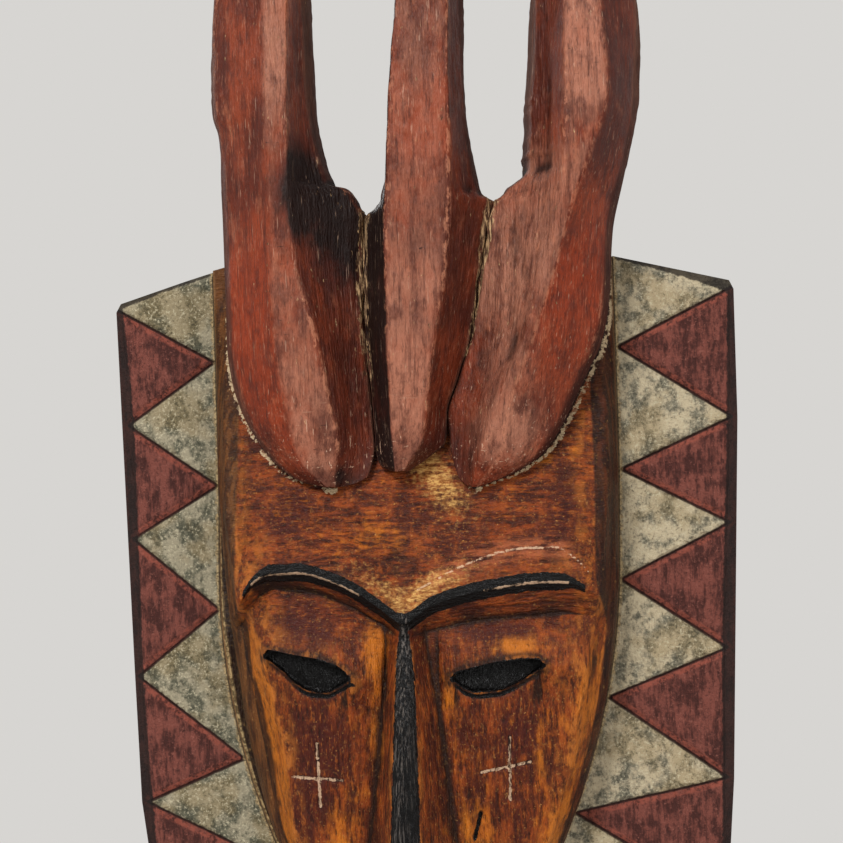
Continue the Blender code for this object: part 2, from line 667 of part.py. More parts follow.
def dowel_holes(side=None):
    """Bores for the dowels of one side, or of both, as one cutter."""
    shape = bmesh.new()
    reach = Vector((DOWEL_HALF + GAP, 0, 0))
    for _, which, centre in dowel_places():
        if side in (None, which):
            add_rod(shape, centre - reach, centre + reach, DOWEL_RADIUS + GAP)
    return shape


def peg_holes(word=""):
    """Bores for the pegs of one horn, or of all three, as one cutter."""
    shape = bmesh.new()
    for name, x, z in PEG_PLACES:
        if name.startswith(word):
            add_rod(shape, (x, -PEG_DEPTH - GAP, z), (x, CUT_THROUGH, z), PEG_RADIUS + GAP)
    return shape


def hanger_recess():
    """Shallow bed that the hanger lies in."""
    shape = bmesh.new()
    half = HANGER_HALF + BED_SIDE_ROOM
    low, high = HANGER_Z - BED_HEIGHT_ROOM, HANGER_Z + HANGER_HEIGHT + BED_HEIGHT_ROOM
    add_block(shape, (-half, -RECESS_DEPTH, low), (half, CUT_THROUGH, high))
    return shape


def hanger_pocket():
    """Deeper pocket under the hanger's teeth, which a wall nail's head can enter."""
    shape = bmesh.new()
    low, high = HANGER_Z - POCKET_BELOW, HANGER_Z + POCKET_ABOVE
    add_block(shape, (-POCKET_HALF, -POCKET_DEPTH, low), (POCKET_HALF, CUT_THROUGH, high))
    return shape


def nail_holes(deep):
    """Bores for the hanger's two nails, down to a depth."""
    shape = bmesh.new()
    z = HANGER_Z + HANGER_HEIGHT / 2
    for side in (-1, 1):
        x = side * NAIL_X
        add_rod(shape, (x, -deep, z), (x, CUT_THROUGH, z), NAIL_RADIUS + GAP)
    return shape


def hanger_outline():
    """Plate with round ends and a toothed lower edge."""
    radius = HANGER_HEIGHT / 2
    straight = HANGER_HALF - radius
    points = []
    for side, first in ((1, -math.pi / 2), (-1, math.pi / 2)):
        for k in range(HANGER_END_STEPS + 1):
            angle = first + math.pi * k / HANGER_END_STEPS
            across, up = radius * math.cos(angle), radius * math.sin(angle)
            points.append((side * straight + across, HANGER_Z + radius + up))
    pitch = 2 * TEETH_HALF / TOOTH_COUNT
    for k in range(TOOTH_COUNT):
        points.append((-TEETH_HALF + k * pitch, HANGER_Z))
        points.append((-TEETH_HALF + (k + 0.5) * pitch, HANGER_Z + TOOTH_HEIGHT))
    points.append((TEETH_HALF, HANGER_Z))
    return points


def make_hanger(material):
    front = RECESS_DEPTH - GAP
    plate = object_from(prism(hanger_outline(), front, front - HANGER_THICK), "sawtooth_hanger", material)
    cut(plate, cutter(nail_holes(NAIL_BORE_DEPTH), "hanger_nail_holes"))


def make_nails(material):
    """Two small nails through the hanger; head_back is the depth at which the underside of a head sits."""
    head_back = RECESS_DEPTH - 2 * GAP - HANGER_THICK
    for side, name in ((-1, "left_hanger_nail"), (1, "right_hanger_nail")):
        x, z = side * NAIL_X, HANGER_Z + HANGER_HEIGHT / 2
        stations = (
            (NAIL_LENGTH + NAIL_POINT, NAIL_POINT_RADIUS),
            (NAIL_LENGTH, NAIL_RADIUS),
            (head_back, NAIL_RADIUS),
            (head_back, NAIL_HEAD_RADIUS),
            (head_back - NAIL_HEAD_EDGE, NAIL_HEAD_RADIUS),
            (head_back - NAIL_HEAD_THICK, NAIL_HEAD_CROWN_RADIUS),
        )
        sections = []
        for depth, radius in stations:
            ring = []
            for k in range(PIN_SIDES):
                angle = 2 * math.pi * k / PIN_SIDES
                ring.append((x + radius * math.cos(angle), -depth, z + radius * math.sin(angle)))
            sections.append(ring)
        object_from(loft(sections), name, material, SOFT_EDGE)


def drill(face, boards, horns):
    cut(face, cutter(dowel_holes(), "face_dowel_holes"))
    cut(face, cutter(peg_holes(), "face_peg_holes"))
    cut(face, cutter(hanger_recess(), "face_hanger_recess"))
    cut(face, cutter(hanger_pocket(), "face_hanger_pocket"))
    cut(face, cutter(nail_holes(NAIL_BORE_DEPTH), "face_nail_holes"))
    for side, board in boards:
        cut(board, cutter(dowel_holes(side), board.name + "_dowel_holes"))
    for word, horn in horns:
        cut(horn, cutter(peg_holes(word), horn.name + "_peg_holes"))


# Materials -------------------------------------------------------------------------------------


def linear(value):
    return value / 12.92 if value <= 0.04045 else ((value + 0.055) / 1.055) ** 2.4


def finish(name, colour, roughness, metallic=0.0):
    """Principled material; the colour is given as display red, green and blue from 0 to 255."""
    material = bpy.data.materials.new(name)
    material.use_nodes = True
    shader = material.node_tree.nodes["Principled BSDF"]
    shader.inputs["Base Color"].default_value = (*[linear(part / 255) for part in colour], 1.0)
    shader.inputs["Roughness"].default_value = roughness
    shader.inputs["Metallic"].default_value = metallic
    return material


def face_wood():
    return finish("ochre_painted_wood", (168, 98, 38), 0.45)


def horn_wood():
    return finish("mahogany_painted_wood", (142, 72, 54), 0.45)


def board_wood():
    return finish("border_painted_wood", (128, 84, 76), 0.6)


def bare_wood():
    return finish("bare_wood", (182, 144, 98), 0.7)


def hanger_steel():
    return finish("dull_steel", (150, 148, 142), 0.4, 1.0)


def main():
    clear_scene()
    face = make_face_shell(face_wood())
    paint = board_wood()
    boards = [(side, make_board(side, paint)) for side in (-1, 1)]
    red = horn_wood()
    horns = (
        ("left", make_left_horn(red)),
        ("centre", make_centre_horn(red)),
        ("right", make_right_horn(red)),
    )
    drill(face, boards, horns)
    wood = bare_wood()
    make_dowels(wood)
    make_pegs(wood)
    steel = hanger_steel()
    make_hanger(steel)
    make_nails(steel)


main()
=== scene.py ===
"""Looks of the carved wall mask: cut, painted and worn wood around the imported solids.

Metres, +Z up, +X to the right as seen from the front. The mask looks along -Y and its flat back lies in
y = 0, so a depth is -y.
"""

import math

import bmesh
import bpy
import numpy as np
from mathutils import Matrix, Vector
from mathutils.geometry import delaunay_2d_cdt


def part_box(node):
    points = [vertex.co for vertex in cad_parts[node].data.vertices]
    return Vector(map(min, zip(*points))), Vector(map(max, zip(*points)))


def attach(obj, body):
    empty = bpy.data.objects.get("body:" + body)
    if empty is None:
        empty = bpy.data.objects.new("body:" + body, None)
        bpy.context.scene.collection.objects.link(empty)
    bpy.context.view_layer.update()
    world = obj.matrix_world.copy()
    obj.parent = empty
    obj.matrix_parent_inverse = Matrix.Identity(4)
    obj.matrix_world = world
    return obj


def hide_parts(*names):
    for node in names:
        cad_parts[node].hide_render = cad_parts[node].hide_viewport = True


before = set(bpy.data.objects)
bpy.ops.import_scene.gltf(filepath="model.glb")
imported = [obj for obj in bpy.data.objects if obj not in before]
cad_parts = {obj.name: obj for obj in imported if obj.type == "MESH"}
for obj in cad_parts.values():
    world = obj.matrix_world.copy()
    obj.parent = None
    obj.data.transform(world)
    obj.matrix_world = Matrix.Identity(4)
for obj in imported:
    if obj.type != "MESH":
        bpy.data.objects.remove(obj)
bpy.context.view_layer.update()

GAP = 0.0003
BOARD = -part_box("left_border_board")[0].y  # thickness of the boards and of the tongue behind the horns

# Face block
FACE_HALF_WIDTH = 0.082
WIDEST_Z = -0.060
CHIN_Z = -0.252
FACE_BOTTOM_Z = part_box("face_shell")[0].z
FACE_TOP_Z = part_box("face_shell")[1].z
AXIS_X = -0.002
AXIS_Z = -0.020
AXIS_LEAN = 0.027
SEAT_LOW_Z = -0.026
SEAT_HIGH_Z = 0.055
SEAT_LOW_DEPTH = 0.047
NOSE_TOP_Z = -0.078
NOSE_TIP_Z = -0.183
MOUTH_X = -0.0085
MOUTH_Z = -0.209
MIDDLE_DEPTH = ((-0.252, 0.022), (-0.246, 0.032), (-0.232, 0.041), (-0.200, 0.046), (-0.150, 0.049),
                (-0.100, 0.050), (-0.050, 0.051), (-0.026, 0.047))

# Arched top and bottom of the border
ARC_RADIUS = 0.336
TOP_ARC_Z = 0.075
BOTTOM_ARC_Z = -0.240

# Hollow behind the face
HOLLOW_TOP_Z = -0.030
HOLLOW_BEND_Z = -0.068
HOLLOW_BOTTOM_Z = -0.232
RIM = 0.017
WALL = 0.013

# Edges of the slanting facets down both sides of the face, as (z, share of the half-width)
LEFT_FRONT_EDGE = ((-0.250, 0.78), (-0.163, 0.745), (-0.148, 0.71), (-0.128, 0.69), (-0.100, 0.71),
                   (-0.084, 0.74), (-0.065, 0.84), (-0.030, 0.91), (0.0, 0.93))
LEFT_WALL_EDGE = ((-0.250, 0.88), (-0.163, 0.855), (-0.128, 0.81), (-0.100, 0.83), (-0.084, 0.85),
                  (-0.060, 0.90), (-0.030, 0.945), (0.0, 0.965))
LEFT_FOOT = ((-0.250, 0.97), (-0.158, 0.952), (-0.103, 0.935), (-0.075, 0.94), (-0.047, 0.97),
             (-0.015, 0.995))
RIGHT_FRONT_EDGE = ((-0.250, 0.85), (-0.110, 0.845), (-0.088, 0.855), (-0.065, 0.89), (-0.030, 0.925),
                    (0.0, 0.94))
RIGHT_WALL_EDGE = ((-0.250, 0.95), (-0.060, 0.953), (-0.020, 0.965), (0.0, 0.972))
FOOT_SHARE = 0.03

# Lines across the face, as (x, z) from left to right: brow edge, crease under it, upper and lower lid
BROW = ((-0.0790, -0.0780), (-0.0725, -0.0715), (-0.0690, -0.0650), (-0.0660, -0.0610), (-0.0585, -0.0572),
        (-0.0476, -0.0571), (-0.0357, -0.0602), (-0.0249, -0.0655), (-0.0165, -0.0715), (-0.0074, -0.0775),
        (0.0045, -0.0710), (0.0166, -0.0672), (0.0268, -0.0652), (0.0461, -0.0630), (0.0557, -0.0633),
        (0.0620, -0.0655), (0.0700, -0.0705), (0.0760, -0.0760))
CREASE = ((-0.0790, -0.0840), (-0.0725, -0.0775), (-0.0680, -0.0705), (-0.0578, -0.0640), (-0.0441, -0.0656),
          (-0.0285, -0.0715), (-0.0184, -0.0775), (-0.0074, -0.0835), (0.0064, -0.0810), (0.0223, -0.0783),
          (0.0380, -0.0771), (0.0536, -0.0764), (0.0645, -0.0778), (0.0760, -0.0850))
UPPER_LID = ((-0.0790, -0.0900), (-0.0625, -0.0893), (-0.0610, -0.0877), (-0.0563, -0.0885),
             (-0.0487, -0.0900), (-0.0401, -0.0917), (-0.0342, -0.0940), (-0.0305, -0.0966),
             (-0.0290, -0.0985), (0.0105, -0.1000), (0.0122, -0.0983), (0.0193, -0.0963), (0.0268, -0.0946),
             (0.0349, -0.0935), (0.0408, -0.0931), (0.0453, -0.0937), (0.0468, -0.0955), (0.0760, -0.0955))
LOWER_LID = ((-0.0790, -0.0910), (-0.0625, -0.0903), (-0.0601, -0.0919), (-0.0547, -0.0963),
             (-0.0509, -0.1002), (-0.0450, -0.1037), (-0.0382, -0.1044), (-0.0339, -0.1026),
             (-0.0303, -0.1005), (-0.0290, -0.0995), (0.0105, -0.1010), (0.0129, -0.1020),
             (0.0152, -0.1040), (0.0200, -0.1057), (0.0275, -0.1054), (0.0351, -0.1029), (0.0406, -0.0998),
             (0.0447, -0.0974), (0.0468, -0.0965), (0.0760, -0.0965))
# middle, half-width, slit ends
EYES = ((-0.0430, 0.0275, -0.0625, -0.0290), (0.0355, 0.0295, 0.0105, 0.0468))

# Lines down the nose, as (z, x) from the bottom: the black cap's edges and the creases beside the nose
CAP_LEFT = ((-0.183, -0.0148), (-0.160, -0.0138), (-0.129, -0.0121), (-0.106, -0.0110), (-0.0906, -0.0101),
            (-0.083, -0.0092), (-0.076, -0.0086))
CAP_RIGHT = ((-0.183, -0.0022), (-0.160, -0.0024), (-0.129, -0.0025), (-0.106, -0.0029), (-0.0906, -0.0040),
             (-0.083, -0.0052), (-0.076, -0.0062))
FOOT_LEFT = ((-0.186, -0.0260), (-0.178, -0.0270), (-0.164, -0.0233), (-0.132, -0.0191), (-0.108, -0.0164),
             (-0.085, -0.0150), (-0.060, -0.0150))
FOOT_RIGHT = ((-0.186, 0.0110), (-0.178, 0.0120), (-0.160, 0.0098), (-0.136, 0.0077), (-0.109, 0.0047),
              (-0.085, 0.0010), (-0.060, 0.0000))
NOSE_HEIGHT = ((-0.183, 0.0243), (-0.160, 0.0225), (-0.110, 0.0160), (-0.095, 0.0120), (-0.085, 0.0085),
               (-0.078, 0.0050))

# Outer edges of the boards, as (z, x), and the heights where each zigzag turns, from the top
BOARD_EDGES = {
    -1: ((-0.240, -0.1100), (-0.171, -0.1165), (-0.100, -0.1197), (0.0, -0.1206), (0.060, -0.1245)),
    1: ((-0.240, 0.1150), (-0.171, 0.1190), (-0.100, 0.1210), (0.0, 0.1260), (0.060, 0.1279)),
}
ZIGZAGS = {
    -1: (0.050, 0.027, 0.002, -0.024, -0.045, -0.075, -0.102, -0.137, -0.154, -0.183, -0.205),
    1: (0.051, 0.028, -0.002, -0.022, -0.045, -0.067, -0.096, -0.115, -0.149, -0.162, -0.200),
}
GROOVE_DEPTH = 0.0018
GROOVE_RED_SIDE = 0.0030
GROOVE_PALE_SIDE = 0.0010

# Horns: seams, free edges and ridges as (z, x), then depths as (z, depth)
LEFT_SEAM = ((-0.008, -0.0168), (0.017, -0.0182), (0.041, -0.0198), (0.060, -0.0198), (0.0815, -0.0182))
RIGHT_SEAM = ((-0.008, 0.0128), (0.002, 0.0120), (0.016, 0.0165), (0.032, 0.0218), (0.051, 0.0255),
              (0.071, 0.0293), (0.085, 0.0323))
LEFT_HORN_OUTER = ((-0.0245, -0.0370), (-0.022, -0.0465), (-0.015, -0.0560), (-0.005, -0.0635),
                   (0.005, -0.0690), (0.019, -0.0734), (0.034, -0.0753), (0.100, -0.0760), (0.131, -0.0786),
                   (0.169, -0.0767), (0.215, -0.0700), (0.243, -0.0600))
LEFT_HORN_INNER = ((-0.0245, -0.0300), (-0.0232, -0.0240), (-0.0205, -0.0195), (-0.008, -0.0168),
                   (0.0815, -0.0184), (0.0875, -0.0218), (0.0925, -0.0247), (0.0942, -0.0292),
                   (0.1065, -0.0342), (0.1205, -0.0366), (0.140, -0.0378), (0.169, -0.0383),
                   (0.215, -0.0430), (0.243, -0.0520))
RIGHT_HORN_OUTER = ((-0.0260, 0.0245), (-0.022, 0.0358), (-0.015, 0.0477), (-0.005, 0.0558), (0.0065, 0.0620),
                    (0.018, 0.0680), (0.029, 0.0735), (0.045, 0.0771), (0.073, 0.0795), (0.094, 0.0845),
                    (0.124, 0.0913), (0.150, 0.0927), (0.169, 0.0911), (0.215, 0.0865), (0.243, 0.0790))
RIGHT_HORN_INNER = ((-0.0260, 0.0195), (-0.022, 0.0157), (-0.008, 0.0128), (0.085, 0.0323), (0.089, 0.0375),
                    (0.097, 0.0434), (0.115, 0.0456), (0.131, 0.0467), (0.169, 0.0503), (0.215, 0.0600),
                    (0.243, 0.0705))
LEFT_CROTCH_Z = 0.0815
RIGHT_CROTCH_Z = 0.085
LOW_SEAM_Z = -0.008  # below it the roots part again
CENTRE_HORN_LEFT = ((-0.0190, -0.0110), (-0.0165, -0.0150), (-0.008, -0.0168), (0.0815, -0.0178),
                    (0.0853, -0.0144), (0.0926, -0.0115), (0.1031, -0.0091), (0.131, -0.0072),
                    (0.169, -0.0036), (0.215, 0.0040), (0.252, 0.0100))
CENTRE_HORN_RIGHT = ((-0.0190, -0.0030), (-0.014, 0.0045), (-0.008, 0.0110), (0.002, 0.0120), (0.085, 0.0323),
                     (0.089, 0.0287), (0.104, 0.0251), (0.127, 0.0230), (0.169, 0.0228), (0.215, 0.0215),
                     (0.252, 0.0175))
LEFT_RIDGE = (((-0.0245, -0.0355), (-0.015, -0.0440), (-0.006, -0.0470), (0.0095, -0.0495), (0.036, -0.0525),
               (0.064, -0.0535), (0.094, -0.0530), (0.125, -0.0535), (0.169, -0.0525), (0.215, -0.0560),
               (0.243, -0.0570)),
              ((-0.0245, -0.0320), (-0.006, -0.0300), (0.0095, -0.0325), (0.036, -0.0375), (0.064, -0.0440),
               (0.094, -0.0455), (0.125, -0.0450), (0.169, -0.0440), (0.215, -0.0500), (0.243, -0.0545)))
CENTRE_RIDGE = (((-0.019, -0.0085), (-0.008, -0.0092), (0.035, -0.0095), (0.066, -0.0095), (0.094, -0.0080),
                 (0.131, -0.0055), (0.169, -0.0020), (0.215, 0.0050), (0.252, 0.0110)),
                ((-0.019, -0.0050), (-0.008, 0.0025), (0.016, 0.0065), (0.035, 0.0094), (0.053, 0.0129),
                 (0.094, 0.0162), (0.169, 0.0175), (0.215, 0.0175), (0.252, 0.0160)))
RIGHT_RIDGE = (((-0.026, 0.0210), (0.000, 0.0290), (0.030, 0.0430), (0.060, 0.0530), (0.094, 0.0600),
                (0.125, 0.0612), (0.169, 0.0625), (0.215, 0.0680), (0.243, 0.0725)),
               ((-0.026, 0.0230), (-0.012, 0.0330), (0.000, 0.0350), (0.030, 0.0460), (0.060, 0.0565),
                (0.085, 0.0640), (0.100, 0.0700), (0.125, 0.0775), (0.169, 0.0755), (0.215, 0.0760),
                (0.243, 0.0760)))
HORN_RIDGE_DEPTH = ((-0.026, 0.0530), (-0.015, 0.0590), (0.000, 0.0630), (0.040, 0.0660), (0.100, 0.0660),
                    (0.169, 0.0620), (0.215, 0.0550), (0.252, 0.0430))
HORN_EDGE_DEPTH = ((-0.026, 0.0500), (0.000, 0.0480), (0.040, 0.0440), (0.169, 0.0420), (0.252, 0.0370))
HORN_SEAM_DEPTH = ((-0.026, 0.0500), (0.000, 0.0440), (0.040, 0.0420), (0.169, 0.0440), (0.252, 0.0370))
HORN_BACK_DEPTH = ((0.075, BOARD + GAP), (0.110, 0.0170), (0.169, 0.0200), (0.215, 0.0250), (0.252, 0.0330))


# Curves, fields and noise over arrays of points ------------------------------------------------------


def curve(knots, at):
    """Smooth curve through (position, value) knots that never overshoots between two of them."""
    places, values = np.array(knots, float).T
    at = np.clip(at, places[0], places[-1])
    slopes = np.diff(values) / np.diff(places)
    turns = slopes[:-1] * slopes[1:] <= 0
    total = np.where(turns, 1.0, slopes[:-1] + slopes[1:])
    inner = np.where(turns, 0.0, 2 * slopes[:-1] * slopes[1:] / total)
    tangents = np.concatenate((slopes[:1], inner, slopes[-1:]))
    i = np.clip(np.searchsorted(places, at, side="right") - 1, 0, len(places) - 2)
    span = places[i + 1] - places[i]
    t = (at - places[i]) / span
    return (values[i] * (2 * t**3 - 3 * t**2 + 1) + values[i + 1] * (3 * t**2 - 2 * t**3)
            + span * (tangents[i] * (t**3 - 2 * t**2 + t) + tangents[i + 1] * (t**3 - t**2)))


def step(low, high, at):
    """Rises smoothly from 0 at low to 1 at high."""
    t = np.clip((at - low) / (high - low), 0.0, 1.0)
    return t * t * (3 - 2 * t)


def bump(distance, reach):
    return np.exp(-((distance / reach) ** 2))


def between(at, low, high):
    """How far inside a span each value lies; negative outside it."""
    return np.minimum(at - low, high - at)


def spot(x, z, at_x, at_z, reach_x, reach_z):
    """Soft patch on the front, 1 at its middle."""
    return bump(x - at_x, reach_x) * bump(z - at_z, reach_z)


def spots(x, z, places):
    """Soft patches added up; each is (x, z, reach in x, reach in z, share)."""
    return sum(share * spot(x, z, *place) for *place, share in places)


def scatter(ix, iy, iz, seed):
    """Fixed pseudo-random numbers from -1 to 1 at whole-numbered places."""
    mixed = (ix * 73856093) ^ (iy * 19349663) ^ (iz * 83492791) ^ (seed * 2654435761)
    mixed &= 0xFFFFFFFF
    mixed = ((mixed ^ (mixed >> 15)) * 2246822519) & 0xFFFFFFFF
    mixed = ((mixed ^ (mixed >> 13)) * 3266489917) & 0xFFFFFFFF
    mixed ^= mixed >> 16
    return (mixed & 0xFFFF) / 32767.5 - 1.0


def noise(points, size, seed):
    """Smooth random field from -1 to 1; size is the length of its blobs, one number or one for each axis."""
    places = points / np.broadcast_to(np.asarray(size, float), (3,))
    whole = np.floor(places).astype(np.int64)
    part = places - whole
    part = part * part * (3 - 2 * part)
    total = 0.0
    for step_on in np.ndindex(2, 2, 2):
        corner = scatter(*np.moveaxis(whole + step_on, -1, 0), seed)
        total = total + corner * np.prod(np.abs(1 - np.array(step_on) - part), axis=-1)
    return total


def segment_distance(x, z, start, end):
    """Distance in the plane of the face from points to one straight stroke."""
    along = np.array(end) - np.array(start)
    share = ((x - start[0]) * along[0] + (z - start[1]) * along[1]) / (along @ along)
    share = np.clip(share, 0, 1)
    return np.hypot(x - start[0] - share * along[0], z - start[1] - share * along[1])


def outward(rows):
    """Outward direction at each point of a closed tube of rows."""
    across = np.roll(rows, -1, 1) - np.roll(rows, 1, 1)
    up = np.gradient(rows, axis=0)
    normal = np.cross(across, up)
    return normal / np.maximum(np.linalg.norm(normal, axis=-1, keepdims=True), 1e-12)


def soften(rows, passes):
    for _ in range(passes):
        rows = (np.roll(rows, 1, 1) + 2 * rows + np.roll(rows, -1, 1)) / 4
        rows[1:-1] = (rows[:-2] + 2 * rows[1:-1] + rows[2:]) / 4
    return rows


def hollowness(rows, passes=14):
    """How far each point lies below its surroundings, in millimetres; edges and ridges are negative."""
    return ((soften(rows.copy(), passes) - rows) * outward(rows)).sum(-1) * 1000


# Meshes ------------------------------------------------------------------------------------------


def tube(name, rows):
    """Closed body from rows of points that run round it, from the lowest row to the highest."""
    index = np.arange(rows.shape[0] * rows.shape[1]).reshape(rows.shape[:2])
    follow = np.roll(index, -1, axis=1)
    quads = np.stack((index[:-1], follow[:-1], follow[1:], index[1:]), axis=-1).reshape(-1, 4)
    faces = quads.tolist() + [index[0, ::-1].tolist(), index[-1].tolist()]
    mesh = bpy.data.meshes.new(name)
    mesh.from_pydata(rows.reshape(-1, 3).tolist(), [], faces)
    mesh.shade_smooth()
    obj = bpy.data.objects.new(name, mesh)
    bpy.context.scene.collection.objects.link(obj)
    return obj


def paint(obj, **fields):
    """Stores one number for each point under each name, for the material to read."""
    for name, values in fields.items():
        layer = obj.data.attributes.new(name, "FLOAT", "POINT")
        layer.data.foreach_set("value", np.ascontiguousarray(values, np.float32).ravel())


def settle(obj, slot, *nodes):
    """Puts a finished piece in place of its CAD nodes."""
    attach(obj, "root")
    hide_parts(*nodes)


# Carved face ---------------------------------------------------------------------------------------


def face_axis(z):
    return AXIS_X + AXIS_LEAN * np.minimum(z - AXIS_Z, 0.0)


def face_half_width(z):
    drop = np.clip((WIDEST_Z - z) / (WIDEST_Z - CHIN_Z), 0.0, 1.0)
    return FACE_HALF_WIDTH * (1 - drop**2) ** 0.8


def arc_reach(z):
    return np.sqrt(np.maximum(ARC_RADIUS**2 - (ARC_RADIUS - (TOP_ARC_Z - z)) ** 2, 0.0))


def seat_depth(z):
    share = np.clip((z - SEAT_LOW_Z) / (SEAT_HIGH_Z - SEAT_LOW_Z), 0.0, 1.0)
    return SEAT_LOW_DEPTH + share * (BOARD - SEAT_LOW_DEPTH)


def face_profile(x, z):
    """Share of the full depth across the face: flat front, slanting facet, side wall and its foot."""
    signed = (x - face_axis(z)) / face_half_width(z)
    aside = np.minimum(np.abs(signed), 1.0)
    left = signed < 0
    front_edge = np.where(left, curve(LEFT_FRONT_EDGE, z), curve(RIGHT_FRONT_EDGE, z))
    wall_edge = np.where(left, curve(LEFT_WALL_EDGE, z), curve(RIGHT_WALL_EDGE, z))
    foot = np.where(left, curve(LEFT_FOOT, z), 1.0)
    front = 1 - 0.05 * (aside / front_edge) ** 4
    facet = 0.95 - 0.35 * (aside - front_edge) / (wall_edge - front_edge)
    down = np.clip((aside - wall_edge) / (foot - wall_edge), 0, 1)
    wall = 0.60 * np.sqrt(1 - down**2)
    wall = np.maximum(wall, FOOT_SHARE * step(1.0, 0.99, aside) * (foot < 1))
    return np.where(aside < front_edge, front, np.where(aside < wall_edge, facet, wall))


def slit_inside(x, z):
    """Signed distance into the eye slits, positive inside."""
    inside = np.full(np.shape(x), -1.0)
    for _, _, low, high in EYES:
        lids = between(z, curve(LOWER_LID, x), curve(UPPER_LID, x))
        inside = np.maximum(inside, np.minimum(between(x, low, high), lids))
    return inside


def brow_relief(x, z, aside):
    """Forehead swelling to the sharp brow, the slanting underside and the socket."""
    brow, crease = curve(BROW, x), curve(CREASE, x)
    share = np.clip((brow - z) / (brow - crease), 0, 1)
    swell = 0.0065 * bump(np.maximum(z - brow, 0), 0.018) * (1 - share)
    socket = 0.0028 * share**0.8 * (1 - step(0.010, 0.036, crease - z))
    return (1 - step(0.80, 0.97, aside)) * swell - (1 - step(0.86, 0.99, aside)) * socket


def eye_relief(x, z):
    crease, upper, lower = curve(CREASE, x), curve(UPPER_LID, x), curve(LOWER_LID, x)
    share = np.clip((crease - z) / (crease - upper), 0, 1)
    dome = np.sin(share * np.pi / 2) ** 0.85 * bump(np.maximum(upper - z, 0), 0.0095)
    relief = 0.0
    for middle, half, low, high in EYES:
        across = np.clip(np.abs(x - middle) / half, 0, 1)
        width = np.sqrt(1 - across**2.4)
        ends = step(0.0, 0.0020, between(x, low, high))
        inside = ends * (z < upper) * (z > lower)
        part = dome * (1 - 0.45 * ends * (z <= lower))
        relief = relief + 0.0062 * width * np.where(inside > 0, part * (1 - inside) - 0.25 * inside, part)
    under_eyes = np.maximum.reduce([between(x, low, high + 0.002) for _, _, low, high in EYES])
    return relief - 0.0007 * bump(lower - 0.0021 - z, 0.0008) * step(0, 0.004, under_eyes)


def nose_relief(x, z):
    """Long nose: a rounded cap, two slanting sides with crisp feet, nostril wings and an undercut tip."""
    cap_low, cap_high = curve(CAP_LEFT, z), curve(CAP_RIGHT, z)
    foot_low, foot_high = curve(FOOT_LEFT, z), curve(FOOT_RIGHT, z)
    left = np.clip((cap_low - x) / (cap_low - foot_low), 0, 1)
    right = np.clip((x - cap_high) / (foot_high - cap_high), 0, 1)
    side = (1 - np.maximum(left, right)) ** 1.1
    across = np.clip((2 * x - cap_low - cap_high) / (cap_high - cap_low), -1, 1)
    height = curve(NOSE_HEIGHT, z) * (1 - step(NOSE_TIP_Z + 0.001, NOSE_TIP_Z - 0.007, z))
    start = step(NOSE_TOP_Z + 0.003, NOSE_TOP_Z - 0.006, z)
    wings = 0.0
    for wing_x in (-0.0195, 0.0045):
        wings = wings + 0.0042 * spot(x, z, wing_x, NOSE_TIP_Z + 0.009, 0.0055, 0.0085)
    wings = wings * (np.maximum(left, right) < 1)
    return start * (height * (0.90 * side + 0.10 * (1 - across**2) * (side >= 1)) + wings * (side > 0))


def mouth_relief(x, z):
    """Closed full lips on a slight swelling."""
    aside = (x - MOUTH_X) / 0.026
    lips = 0.0
    for centre_z, height in ((MOUTH_Z + 0.0062, 0.0060), (MOUTH_Z - 0.0065, 0.0066)):
        lips = lips + height * bump(z - centre_z, 0.0052)
    return (0.005 * bump(z - MOUTH_Z, 0.020) + lips) * np.exp(-(aside**4))


CROSSES = (((-0.0430, -0.1250), (-0.0425, -0.1500)), ((-0.0530, -0.1380), (-0.0335, -0.1395)),
           ((0.0325, -0.1240), (0.0320, -0.1485)), ((0.0212, -0.1375), (0.0402, -0.1340)))
GASH = ((0.0204, -0.1534), (0.0177, -0.1635))
KNOT = (0.0565, -0.0990)


def face_depth(x, z):
    aside = np.minimum(np.abs(x - face_axis(z)) / face_half_width(z), 1.0)
    middle = np.where(z >= SEAT_LOW_Z, seat_depth(z), curve(MIDDLE_DEPTH, z))
    fullness = face_profile(x, z)
    relief = brow_relief(x, z, aside) + eye_relief(x, z) + nose_relief(x, z) + mouth_relief(x, z)
    for start, end in CROSSES:
        relief = relief - 0.0007 * bump(segment_distance(x, z, start, end), 0.0006)
    relief = relief - 0.0012 * bump(segment_distance(x, z, *GASH), 0.0007)
    relief = relief + 0.0006 * bump(np.hypot(x - KNOT[0], z - KNOT[1]) - 0.0016, 0.0006)
    relief = relief * step(1.0, 0.90, aside) * (1 - step(SEAT_LOW_Z - 0.004, SEAT_LOW_Z, z))
    depth = BOARD + (middle - BOARD) * fullness + relief
    return np.where(z >= SEAT_HIGH_Z, BOARD, np.maximum(depth, BOARD))


def eased(count):
    """Shares from 0 up to, but without, 1, a little closer together at both ends."""
    t = np.arange(count) / count
    return 0.5 * t + 0.25 * (1 - np.cos(np.pi * t))


CHEEK_ROW_Z = -0.118  # rows are level from here down
FOREHEAD_ROW_Z = -0.046  # and from here up
ROW_COUNTS = (150, 22, 14, 30, 16, 24, 26, 56)  # rows in each stretch, from the chin up


def face_heights(x, level):
    """Height of the row with this level number at x: rows bend to follow the brow and the lids."""
    bent = [curve(line, x) for line in (LOWER_LID, UPPER_LID, CREASE, BROW)]
    lines = (FACE_BOTTOM_Z, CHEEK_ROW_Z, *bent, FOREHEAD_ROW_Z, SEAT_LOW_Z, FACE_TOP_Z)
    lines = [np.broadcast_to(line, x.shape) for line in lines]
    k = int(level)
    if k >= len(lines) - 1:
        return lines[-1]
    return lines[k] + (lines[k + 1] - lines[k]) * (level - k)


